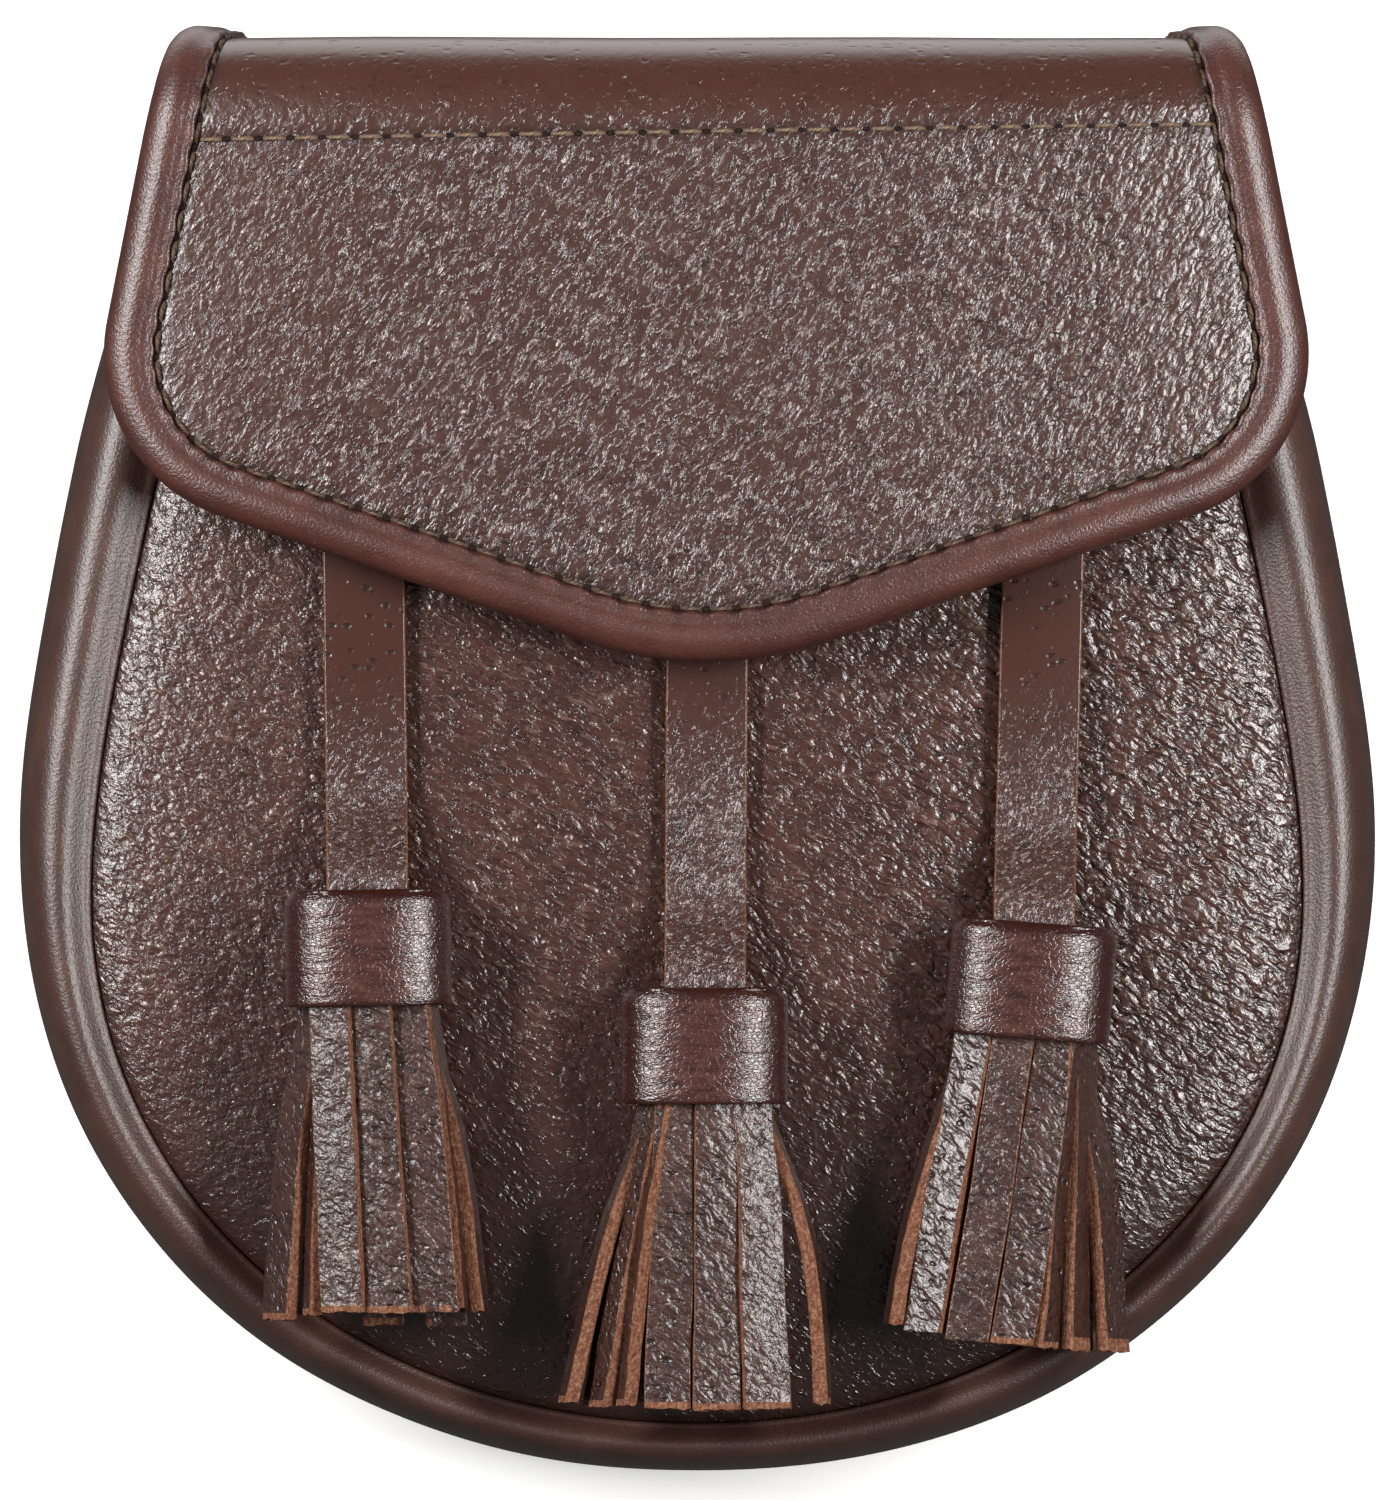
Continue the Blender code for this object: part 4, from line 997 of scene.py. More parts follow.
def make_flap(material):
    """The grained lid: one sheet, pressed in along its binding and along the stitched line."""
    border = spaced(flap_outline(FLAP_TURN_STEP), FLAP_BORDER_POINTS)
    tree = kdtree.KDTree(len(border))
    for number, point in enumerate(border):
        tree.insert((*point, 0), number)
    tree.balance()
    rows, marks = [], []
    for plan_row in flap_plan():
        row, row_marks = [], []
        for x, s in plan_row:
            from_edge = tree.find((x, s, 0))[2]
            sewn = bell(abs(s - cross_line_s(x)), CROSS_GROOVE_WIDTH)
            bound = bell(max(0.0, from_edge - BOUND_GROOVE_INSET), BOUND_GROOVE_WIDTH)
            lift = waving((x, s, 0), FLAP_SWELL) + waving((x, s, 0), FLAP_RIPPLE)
            lift *= 1 - bound
            lift -= CROSS_GROOVE_DEPTH * sewn + BOUND_GROOVE_DEPTH * bound
            row.append(flap_point(x, s, FLAP_WALL / 2 + lift))
            past_fold = (s - FLAP_FOLD_PLAIN.start) / FLAP_FOLD_PLAIN.length
            over_fold = min(1.3, max(0.0, past_fold)) ** 0.6
            plain = max(over_fold, 0.35 * faded(abs(x), FLAP_SIDES_PLAIN))
            folds = max(0.7 * faded(s, FLAP_TIP_FOLDS), 0.8 * faded(x, FLAP_RIGHT_FOLDS))
            # Painted shade down in the stitched groove across the top and in the groove by the
            # binding.
            painted_shade = max(0.5 * sewn, 0.75 * bound)
            row_marks.append({"plain": plain, "painted_shade": painted_shade, "wrinkle": folds * (1 - plain)})
        rows.append(row)
        marks.append(row_marks)
    flap = skin("flap_leather", rows, marks=marks)
    thicken(flap, FLAP_WALL - 0.4 * MM)
    dress(flap, [material], "grained_leather", "flap")


# --- The binding ---

BindingPoint = namedtuple("BindingPoint", "inward lift")

# Section of the binding, from its thin lip on the flap's face round the edge to the underside:
# inward from its outer edge, and lift off the flap's middle surface.
BINDING_ROLL = (
    BindingPoint(6.95 * MM, 1.55 * MM),
    BindingPoint(6.95 * MM, 2.15 * MM),
    BindingPoint(6.6 * MM, 2.6 * MM),
    BindingPoint(6.0 * MM, 2.62 * MM),
    BindingPoint(5.3 * MM, 2.68 * MM),
    BindingPoint(4.4 * MM, 3.1 * MM),
    BindingPoint(3.3 * MM, 3.3 * MM),
    BindingPoint(2.2 * MM, 3.1 * MM),
    BindingPoint(1.1 * MM, 2.5 * MM),
    BindingPoint(0.3 * MM, 1.5 * MM),
    BindingPoint(0.0, 0.3 * MM),
    BindingPoint(0.2 * MM, -1.1 * MM),
    BindingPoint(1.1 * MM, -2.3 * MM),
    BindingPoint(2.6 * MM, -2.8 * MM),
    BindingPoint(4.4 * MM, -2.8 * MM),
    BindingPoint(6.4 * MM, -2.4 * MM),
    BindingPoint(6.6 * MM, -1.8 * MM),
    BindingPoint(6.4 * MM, -1.75 * MM),
)
BINDING_INSIDE = (
    BindingPoint(1.2 * MM, -1.75 * MM),
    BindingPoint(1.2 * MM, 1.55 * MM),
    BindingPoint(6.95 * MM, 1.55 * MM),
)
BINDING_STEP = 0.9 * MM
BINDING_FACE = 1.6 * MM  # a point of the section is on the flap's face above this lift
BINDING_LIP = Fade(4.2 * MM, 2.6 * MM)
BINDING_SWELL = Waves(0.14 * MM, 16 * MM)
BINDING_PULLED_DOWN = 0.1 * MM
BINDING_PULLED_IN = 0.3
BINDING_STITCH_INSET = 7.35 * MM
BINDING_COUNTED_GIRTH = 22 * MM  # really 19 mm round its outside and 33 mm with its inside


def binding_path():
    """The binding's outer edge before folding, from the right end of the fold to the left one."""
    outline = flap_outline(FLAP_TURN_STEP)
    end = FLAP_LENGTH - FLAP_TONGUE
    right_x = along_line(outline, end)
    inner = [point for point in outline[1:-1] if point.y < end - 1 * MM]
    path = [Vector((right_x, end))] + inner + [Vector((-right_x, end))]
    return spaced(path, round(line_length(path) / BINDING_STEP)), line_length(path)


def make_binding(material, thread, hole_shade):
    """The rolled edge strip, its stitches and the awl holes that they go down."""
    path, length = binding_path()
    stitches = round(length / STITCH_PITCH)
    section = curved(BINDING_ROLL, 2) + [Vector(point) for point in BINDING_INSIDE]
    rows, marks = [], []
    for inward, face_lift in section:
        on_face = face_lift > BINDING_FACE
        at_lip = faded(inward, BINDING_LIP) if on_face else 0
        edge = 1 - smooth(face_lift / (2.6 * MM)) if inward < 3 * MM else 0
        moved, further = offset_line(path, inward), offset_line(path, inward + 1 * MM)
        row, row_marks = [], []
        for station, place in enumerate(moved):
            round_stitch = stitches * station / (len(path) - 1)
            pull = 0.5 + 0.5 * math.cos(2 * math.pi * round_stitch)
            place = place.lerp(further[station], BINDING_PULLED_IN * (0.5 - pull) * at_lip)
            lift = face_lift - BINDING_PULLED_DOWN * pull * at_lip
            lift += waving((*place, 0), BINDING_SWELL) if on_face else 0
            row.append(flap_point(place.x, place.y, lift))
            # Painted shade on the roll's outer edge and underside, and in the dips of its lip at the
            # stitches.
            row_marks.append({"painted_shade": max(0.7 * edge, 0.6 * at_lip * pull**2)})
        rows.append(row)
        marks.append(row_marks)
    binding = skin("edge_binding", rows, span=(length, BINDING_COUNTED_GIRTH), marks=marks)
    fill_ends(binding)
    dress(binding, [material], "bound_leather", "flap_binding")
    line = spaced(offset_line(path, BINDING_STITCH_INSET), stitches)
    sew_on_flap("binding", line, FLAP_WALL / 2, thread, hole_shade)


def fill_ends(piece):
    """Closes the open ends of a skin with flat faces."""
    select_only(piece)
    bpy.ops.object.mode_set(mode="EDIT")
    bpy.ops.mesh.select_all(action="DESELECT")
    bpy.ops.mesh.select_mode(type="EDGE")
    bpy.ops.mesh.select_non_manifold(
        extend=False, use_wire=False, use_multi_face=False, use_non_contiguous=False, use_verts=False
    )
    bpy.ops.mesh.edge_face_add()
    bpy.ops.object.mode_set(mode="OBJECT")


# --- Stitches ---


def frame_on(start, end, up, share=0.5):
    """A frame between two holes, with X along the stitch and Z out of the leather."""
    along = (end - start).normalized()
    side = up.cross(along).normalized()
    out = along.cross(side)
    place = start.lerp(end, share)
    return Matrix(
        (
            (along.x, side.x, out.x, place.x),
            (along.y, side.y, out.y, place.y),
            (along.z, side.z, out.z, place.z),
            (0, 0, 0, 1),
        )
    )


STITCH_HALF = STITCH_PITCH * 0.37
STITCH_STATIONS = 9
STITCH_SIDES = 6
PLY_TURNS = 1.5
THREAD_ARCH = 0.16 * MM
THREAD_DIVE = 0.6 * MM


def stitch_master(thread):
    """One short stitch of two-ply thread that arches out of one hole and into the next."""
    rows = []
    for station in range(STITCH_STATIONS + 1):
        part = station / STITCH_STATIONS
        x = STITCH_HALF * (2 * part - 1)
        arch = THREAD_ARCH - THREAD_DIVE * abs(2 * part - 1) ** 4
        row = []
        for side in range(STITCH_SIDES + 1):
            angle = -2 * math.pi * side / STITCH_SIDES
            twist = angle + PLY_TURNS * math.pi * part
            radius = THREAD_RADIUS * (0.78 + 0.3 * abs(math.cos(twist)))
            row.append(Vector((x, radius * math.cos(angle), arch + radius * math.sin(angle))))
        rows.append(row)
    master = skin("stitch", rows, span=(2.4 * MM, 4 * MM))
    edit_mesh(master, lambda: bpy.ops.mesh.normals_make_consistent(inside=False))
    master.data.materials.append(thread)
    return master


def hole_shade_master(hole_shade):
    """One awl hole: a shallow dark dish of painted shade, longer along the stitching than across it.
    """
    bpy.ops.object.select_all(action="DESELECT")
    bpy.ops.mesh.primitive_cone_add(
        vertices=9, radius1=HOLE_RADIUS, radius2=HOLE_RADIUS * 0.6, depth=0.24 * MM
    )
    master = bpy.context.object
    master.name = master.data.name = "hole_shade"
    master.data.transform(Matrix.Diagonal((1.35, 0.85, 1, 1)))
    master.data.materials.append(hole_shade)
    return master


def sew(name, places, ups, thread, hole_shade):
    """A row of stitches between holes at these places."""
    for kind, master, share in (
        ("stitches", stitch_master(thread), 0.5),
        # The hole row is dark dishes: painted shade for the awl holes.
        ("holes", hole_shade_master(hole_shade), 0),
    ):
        frames = [frame_on(*ends, share) for ends in zip(places, places[1:], ups)]
        row = copies(f"{name}_{kind}", master, frames)
        bpy.data.objects.remove(master, do_unlink=True)
        dress(row, [], "bound_leather")


def sew_on_flap(name, line, lift, thread, hole_shade):
    """A row of stitches at these flat places of the flap, lifted off its middle surface."""
    places = [flap_point(x, s, lift) for x, s in line]
    tops = [flap_point(x, s, FLAP_WALL) for x, s in line]
    ups = [(top - place).normalized() for place, top in zip(places, tops)]
    sew(name, places, ups, thread, hole_shade)


CROSS_STITCH_SUNK = 0.25 * MM
SEWN_END_HALF = 66 * MM
SEWN_END_INSET = 3.2 * MM


def make_cross_stitches(thread, hole_shade):
    """The stitched line across the top of the flap, and the one that holds its sewn end."""
    start, end = CROSS_LINE
    line = spaced([start, end], round((end.x - start.x) / STITCH_PITCH))
    sew_on_flap("cross_line", line, FLAP_WALL / 2 - CROSS_STITCH_SUNK, thread, hole_shade)
    s = FLAP_LENGTH - SEWN_END_INSET
    ends = [Vector((-SEWN_END_HALF, s)), Vector((SEWN_END_HALF, s))]
    line = spaced(ends, round(2 * SEWN_END_HALF / STITCH_PITCH))
    sew_on_flap("sewn_end", line, FLAP_WALL / 2, thread, hole_shade)


# --- Straps, caps and fringes ---


def leather_ring(width, wall, face_steps, corner=0.2 * MM):
    """Section of a cut strip of leather, anticlockwise from the right edge: its points, and
    for each step to the next point 0 on a face and 1 on a cut edge."""
    half, deep = width / 2, wall / 2
    points, kinds = [], []
    sides = (
        ((half, corner - deep), (half, deep - corner), 3, 1),
        ((half - corner, deep), (corner - half, deep), face_steps, 0),
        ((-half, deep - corner), (-half, corner - deep), 3, 1),
        ((corner - half, -deep), (half - corner, -deep), face_steps, 0),
    )
    for start, end, steps, kind in sides:
        shares = [step / steps for step in range(steps + 1)]
        if kind == 0:
            crisp = 0.1 * MM / width
            shares = [0.0, crisp] + shares[1:-1] + [1 - crisp, 1.0]
        for share in shares:
            points.append(Vector(start).lerp(Vector(end), share))
            kinds.append(kind if share < 1 else 1)
    points.append(points[0].copy())
    return points, kinds


def cap_base_z(tassel):
    """Height of the cap's underside, clear of the front panel under all of it."""
    reach = (-CAP_HALF_WIDTH, 0, CAP_HALF_WIDTH)
    rise = (-CAP_HALF_HEIGHT, 0, CAP_HALF_HEIGHT)
    return CAP_CLEARANCE + max(
        front_z(tassel.cap_x + dx, tassel.cap_y + dy) for dx in reach for dy in rise
    )


def cap_frame(tassel):
    """The cap's own frame: X across, Y up the strap, Z out of the front, at its middle."""
    place = Vector((tassel.cap_x, tassel.cap_y, cap_base_z(tassel) + CAP_HALF_DEPTH))
    return Matrix.Translation(place) @ Matrix.Rotation(math.radians(tassel.lean), 4, "Z")


def oval(half_width, half_depth, roundness, y, sides):
    """A closed ring across the cap, turning to the right as seen from below."""
    ring = []
    power = 2 / roundness
    for i in range(sides + 1):
        angle = 2 * math.pi * i / sides
        across, out = math.sin(angle), math.cos(angle)
        x = half_width * math.copysign(abs(across) ** power, across)
        z = half_depth * math.copysign(abs(out) ** power, out)
        ring.append(Vector((x, y, z)))
    return ring


CapRow = namedtuple("CapRow", "height inset")

# The cap's wall from inside its mouth, round the rim and up the outside to the shoulder.
CAP_RIM = (
    CapRow(5.5 * MM, 1.25 * MM),
    CapRow(0.5 * MM, 1.2 * MM),
    CapRow(0.12 * MM, 1.0 * MM),
    CapRow(0.0, 0.65 * MM),
    CapRow(0.1 * MM, 0.25 * MM),
    CapRow(0.4 * MM, 0.04 * MM),
)
CAP_SHOULDER = 2.2 * MM
CAP_SIDES = 88
CAP_FACE_ROUNDNESS = 2.15  # rounder than the form inside, which the leather sags over
CAP_WALL_STEPS = 28
CAP_SHOULDER_STEPS = 7
CAP_SLOT_STEPS = 5
CAP_SLOT_PLAY = 0.45 * MM
CAP_SKIN_INSET = 0.12 * MM
CAP_DENTS = Waves(0.11 * MM, 1.7 * MM)
CAP_DENT_STRETCH = 0.3  # the wrinkles run across, so they are slow in X and Z
CAP_WORN_FROM_RIM = 2 * MM
CAP_LINING_INSET = 1.25 * MM
# Where painted shade darkens the cap: its sides, its shoulder and its rim.
CAP_SIDE_SHADE = Fade(CAP_HALF_WIDTH - 3.4 * MM, 1.2 * MM)
CAP_SHOULDER_SHADE = Fade(CAP_HALF_HEIGHT - 2.4 * MM, 1.2 * MM)
CAP_RIM_SHADE = Fade(0.7 * MM - CAP_HALF_HEIGHT, -0.6 * MM)


def cap_ring(inset, y, roundness=CAP_ROUNDNESS):
    """A ring of the cap, in from its outer wall."""
    return oval(CAP_HALF_WIDTH - inset, CAP_HALF_DEPTH - inset, roundness, y, CAP_SIDES)


def make_cap(tassel, material):
    """A leather drum drawn over the head of the fringe, creased across, slotted for its strap."""
    foot, top = -CAP_HALF_HEIGHT, CAP_HALF_HEIGHT
    profile = [(foot + row.height, row.inset) for row in CAP_RIM]
    wall_foot, wall_top = profile[-1][0], top - CAP_SHOULDER
    for step in range(1, CAP_WALL_STEPS + 1):
        profile.append((wall_foot + (wall_top - wall_foot) * step / CAP_WALL_STEPS, 0.0))
    for step in range(1, CAP_SHOULDER_STEPS + 1):
        angle = math.pi / 2 * step / CAP_SHOULDER_STEPS
        rise, inset = CAP_SHOULDER * math.sin(angle), CAP_SHOULDER * (1 - math.cos(angle))
        profile.append((wall_top + rise, inset))
    rings = []
    for y, inset in profile:
        ring = cap_ring(inset, y, CAP_FACE_ROUNDNESS if inset < 1 * MM else CAP_ROUNDNESS)
        worn = smooth((y - foot) / CAP_WORN_FROM_RIM) * (1 - smooth((y - wall_top) / CAP_SHOULDER))
        for point in ring:
            spot = (point.x * CAP_DENT_STRETCH, point.y, point.z * CAP_DENT_STRETCH)
            dent = waving(spot, CAP_DENTS, tassel.cap_x / MM) * worn if inset < 0.01 * MM else 0
            scale = 1 - (CAP_SKIN_INSET + dent) / CAP_HALF_WIDTH
            point.x *= scale
            point.z *= scale
        rings.append(ring)
    shoulder = rings[-1]
    slot_half = (STRAP_WIDTH / 2 + CAP_SLOT_PLAY, STRAP_WALL / 2 + CAP_SLOT_PLAY)
    slot = oval(*slot_half, 6, top, CAP_SIDES)
    for step in range(1, CAP_SLOT_STEPS + 1):
        rings.append([a.lerp(b, step / CAP_SLOT_STEPS) for a, b in zip(shoulder, slot)])
    rings.append([point - Vector((0, CAP_WALL, 0)) for point in slot])
    rings.append(cap_ring(2.6 * MM, top - CAP_WALL))
    rings.append(cap_ring(CAP_LINING_INSET, top - CAP_WALL - 1.4 * MM))
    rings.append([point.copy() for point in rings[0]])
    marks = [[{"painted_shade": cap_painted_shade(point)} for point in ring] for ring in rings]
    matrix = cap_frame(tassel)
    rows = [[matrix @ point for point in ring] for ring in rings]
    cap = skin(f"tassel_cap_{tassel.side}", rows, span=(60 * MM, 30 * MM), marks=marks)
    dress(cap, [material], "bound_leather", f"cap_{tassel.side}")


def cap_painted_shade(point):
    """Painted shade on the cap, dark and red: most on its sides, its shoulder and its rim."""
    side = faded(abs(point.x), CAP_SIDE_SHADE)
    return max(side, faded(point.y, CAP_SHOULDER_SHADE), faded(point.y, CAP_RIM_SHADE))


STRAP_STATIONS = 84
STRAP_WANDER = Waves(0.08 * MM, 7 * MM)
STRAP_CROWN = 0.16 * MM
STRAP_PRESSED = Fade(-10 * MM, 26 * MM)  # by Y: its top is plated flat, its foot is wrinkled


def make_strap(tassel, grain, edge):
    """A flat strap on the front panel that lifts into the slot of its cap."""
    matrix = cap_frame(tassel)
    end = matrix @ Vector((0, CAP_HALF_HEIGHT - STRAP_INTO_CAP, 0))
    mouth = matrix @ Vector((0, CAP_HALF_HEIGHT, 0))
    start = Vector((tassel.strap_x, tassel.strap_top_y, 0))
    ring, kinds = leather_ring(STRAP_WIDTH, STRAP_WALL, 14)
    rows, marks = [], []
    for station in range(STRAP_STATIONS + 1):
        part = station / STRAP_STATIONS
        x = start.x + (end.x - start.x) * part
        y = start.y + (end.y - start.y) * part
        resting = GAP + STRAP_WALL / 2 + max(
            front_z(x + side * STRAP_WIDTH / 2, y) for side in (-1, 0, 1)
        )
        lifted = 1 - smooth((y - mouth.y) / STRAP_RISE_LENGTH)
        z = resting + (end.z - resting) * lifted
        row = []
        for point in ring:
            wander = 0.5 * waving((point.x, y, point.y), STRAP_WANDER, tassel.strap_x / MM)
            sunk = STRAP_CROWN * (2 * point.x / STRAP_WIDTH) ** 2 if point.y > 0 else 0
            row.append(Vector((x + point.x + wander, y, z + point.y - sunk + wander)))
        rows.append(row)
        pressed = faded(y, STRAP_PRESSED)
        marks.append([{"plain": pressed, "wrinkle": 0.4 * (1 - pressed)}] * len(ring))
    strap = skin(
        f"tassel_strap_{tassel.side}",
        [collapsed(rows[0])] + rows + [collapsed(rows[-1])],
        span=(2 * (STRAP_WIDTH + STRAP_WALL), (start - end).length),
        marks=[marks[0]] + marks + [marks[-1]],
        slots=kinds,
    )
    dress(strap, [grain, edge], "grained_leather", f"strap_{tassel.side}", smooth_below=60)


def spread_in_cap(ring):
    """How far a ring reaches towards the inside of the cap, where 1 just touches it."""
    across = CAP_HALF_WIDTH - CAP_WALL - GAP / 2
    out = CAP_HALF_DEPTH - CAP_WALL - GAP / 2
    reach = [
        (abs(point.x / across) ** CAP_ROUNDNESS + abs(point.z / out) ** CAP_ROUNDNESS)
        for point in ring
    ]
    return max(reach) ** (1 / CAP_ROUNDNESS)


STRIP_STATIONS = 52
STRIP_HIDDEN = 0.1  # part of a strip's length that is inside the head
STRIP_FOLLOWS_CAP = 1.3  # degrees that a front strip turns, for each mm from the cap's middle
STRIP_FRONT_TURN = 10  # a strip that turns less than this faces the front
STRIP_PLAIN_TURN = 20  # and one that turns more than this shows its plainer side
STRIP_FLARE_TURN = 45  # one that turns less than this flares further round
STRIP_FLARE = 1.35
STRIP_SEED_STEP = 7.3
STRIP_NEIGHBOUR = 9 * MM
STRIP_SWAYS = Fade(0.1, 0.5)  # by the part of its length
STRIP_SWAY_ACROSS = Waves(0.45 * MM, 19 * MM)
STRIP_SWAY_OUT = Waves(0.45 * MM, 16 * MM)
STRIP_TWIST = Waves(4, 23 * MM)  # in degrees
STRIP_COCKLE = Waves(0.14 * MM, 3.2 * MM)
STRIP_UNEVEN = Waves(0.02, 4 * MM)  # as a share of its width
STRIP_TORN = Waves(0.3 * MM, 0.9 * MM)
STRIP_HOLLOW = 0.1 * MM
STRIP_RAGGED = 0.2 * MM


def strip_x(strip, along):
    """The strip's middle across the fringe, this far down from the cap's mouth."""
    x = (strip.root + (strip.foot - strip.root) * along) * MM
    return x + strip.bow * MM * math.sin(math.pi * along) * math.copysign(1, strip.foot)


def faces_front(strip):
    """Whether the strip lies flat on the front of the fringe."""
    return abs(strip.turn) < STRIP_FRONT_TURN


def strip_halves(strip, others, facing, along):
    """Its width to the left, -1, and to the right, 1. One that faces the front is cut as wide
    as the room between its neighbours."""
    halves = {-1: STRIP_WIDTH / 2, 1: STRIP_WIDTH / 2}
    if faces_front(strip):
        halves = {side: half * (1 + 0.1 * along) for side, half in halves.items()}
        for other in others:
            room = strip_x(other, along) - strip_x(strip, along)
            if abs(room) < STRIP_NEIGHBOUR:
                level = math.cos(math.radians(facing))
                halves[1 if room > 0 else -1] = (abs(room) / 2 - 0.05 * MM) / level
    return halves


def strip_rows(strip, seed, others, tassel_facing):
    """Rings down one strip from inside the head to its cut end, in the cap's frame."""
    section, kinds = leather_ring(STRIP_WIDTH, STRIP_WALL, 7, corner=0.12 * MM)
    facing = strip.turn * (STRIP_FLARE if abs(strip.turn) < STRIP_FLARE_TURN else 1)
    if faces_front(strip):
        facing = tassel_facing + STRIP_FOLLOWS_CAP * (strip.root + strip.foot) / 2
    rows, drawn_in = [], 1.0
    for station in range(STRIP_STATIONS + 1):
        part = (1 + STRIP_HIDDEN) * station / STRIP_STATIONS - STRIP_HIDDEN
        along = max(0.0, part)
        halves = strip_halves(strip, others, facing, along)
        z = (strip.lift + (strip.foot_lift - strip.lift) * along) * MM
        y = -CAP_HALF_HEIGHT - part * (strip.length * MM)
        down = (0, y, 0)
        across = waving(down, STRIP_SWAY_ACROSS, seed)
        sway = Vector((across, 0, waving(down, STRIP_SWAY_OUT, seed + 5)))
        centre = Vector((strip_x(strip, along), 0, z)) + sway * faded(part, STRIP_SWAYS)
        twist = math.radians(waving(down, STRIP_TWIST, seed + 9) * along)
        turn = Matrix.Rotation(math.radians(facing) + twist, 3, "Y")
        ring = []
        for point in section:
            wide = halves[1 if point.x > 0 else -1] / (STRIP_WIDTH / 2)
            wide += waving(down, STRIP_UNEVEN, seed)
            cockle = waving((point.x, y, point.y), STRIP_COCKLE, seed)
            hollow = STRIP_HOLLOW * (2 * point.x / STRIP_WIDTH) ** 2
            ring.append(turn @ Vector((point.x * wide, 0, point.y + cockle - hollow)) + centre)
        if part < STRIP_FREE_FROM:
            drawn_in = max(drawn_in, spread_in_cap(ring))
        gathered = 1 / drawn_in + (1 - 1 / drawn_in) * smooth(along / STRIP_FREE_BY)
        for point in ring:
            torn = waving(point, STRIP_TORN, seed) if station == STRIP_STATIONS else 0
            point.x, point.y, point.z = point.x * gathered, y + torn, point.z * gathered
        rows.append(ring)
    return rows, kinds


def closed_rows(rows, roughness=0.0):
    """The rows with a face over each end, the second one a little rough, as scissors leave it."""
    last = collapsed(rows[-1])
    ragged = []
    for number, point in enumerate(rows[-1]):
        inner = point.lerp(last[0], 0.45)
        inner.y += roughness * math.sin(number * 2.3)
        ragged.append(inner)
    ragged[-1] = ragged[0].copy()
    return [collapsed(rows[0])] + rows + [ragged, last]


def make_fringe(tassel, grain, edge):
    """The cut strips and the plug that holds them inside the cap."""
    matrix = cap_frame(tassel)
    inset = CAP_WALL + GAP
    head = []
    for y in (HEAD_TOP, -HEAD_FOOT):
        ring = oval(CAP_HALF_WIDTH - inset, CAP_HALF_DEPTH - inset, CAP_ROUNDNESS, y, 40)
        head.append([matrix @ point for point in reversed(ring)])
    pieces = [skin("head", closed_rows(head), span=(60 * MM, 10 * MM))]
    for number, strip in enumerate(tassel.strips):
        others = [o for o in tassel.strips if faces_front(o) and o is not strip]
        seed = number * STRIP_SEED_STEP + tassel.cap_x / MM
        rows, kinds = strip_rows(strip, seed, others, tassel.facing)
        rows = [[matrix @ point for point in row] for row in closed_rows(rows, STRIP_RAGGED)]
        marks = {
            "plain": 0.5 if abs(strip.turn) > STRIP_PLAIN_TURN else 0.0,
            "wrinkle": 0.7 + 0.3 * math.sin(number * 2.3),
        }
        piece = skin(
            "strip",
            rows,
            span=(2 * (STRIP_WIDTH + STRIP_WALL), strip.length * MM),
            marks=[[marks] * len(row) for row in rows],
            slots=kinds,
        )
        cut = matrix @ Vector((0, -CAP_HALF_HEIGHT - (strip.length - 0.6) * MM, 0))
        for face in piece.data.polygons:
            if face.center.y < cut.y:
                face.material_index = 1
        pieces.append(piece)
    for piece in pieces:
        piece.data.materials.append(grain)
        piece.data.materials.append(edge)
    fringe = join(f"tassel_fringe_{tassel.side}", pieces)
    dress(fringe, [grain, edge], "fringe_leather", f"fringe_{tassel.side}", smooth_below=60)


# --- The back ---

BACK_MIDDLE = Vector((0, -5 * MM))
BACK_ROUND_OVER = 0.5 * MM
BACK_GROOVE_DEPTH = 0.35 * MM
BACK_GROOVE_WIDTH = 0.8 * MM
BACK_RINGS = 26
BACK_SPAN = (0.55, 0.1)  # its edge is really 0.63 long, so its flecks are drawn coarser
BACK_OUT = Vector((0, BACK_SLOPE, -1)).normalized()

BackRing = namedtuple("BackRing", "reach inset lift")

# From the middle of the outer face out to its rim, round it, and back over the inner face.
BACK_SECTION = tuple(
    BackRing(1 - (1 - i / BACK_RINGS) ** 1.6, 0.0, 0.0) for i in range(BACK_RINGS)
) + (
    BackRing(1.0, 0.45 * MM, 0.0),
    BackRing(1.0, 0.15 * MM, 0.12 * MM),
    BackRing(1.0, 0.0, BACK_ROUND_OVER),
    BackRing(1.0, 0.0, PANEL_WALL - BACK_ROUND_OVER),
    BackRing(1.0, 0.4 * MM, PANEL_WALL),
    BackRing(0.9, 0.0, PANEL_WALL),
    BackRing(0.5, 0.0, PANEL_WALL),
    BackRing(0.0, 0.0, PANEL_WALL),
)


def back_outline(inset, side_steps, bottom_steps):
    """The back panel's edge, closed by a straight top, anticlockwise as seen from the front."""
    outline = []
    for outer, seam in outline_pairs(side_steps, bottom_steps):
        outline.append(outer + (seam - outer).normalized() * (BACK_RIM_INSET + inset))
    corner = outline[0]
    shoulder = [
        Vector((corner.x - 2.0 * MM, BACK_TOP_Y - 2.5 * MM - inset)),
        Vector((corner.x - 6.0 * MM, BACK_TOP_Y - inset)),
    ]
    top = [shoulder[1].lerp(mirrored(shoulder[1]), i / 40) for i in range(41)]
    return [corner, shoulder[0]] + top + [mirrored(shoulder[0])] + outline[::-1]


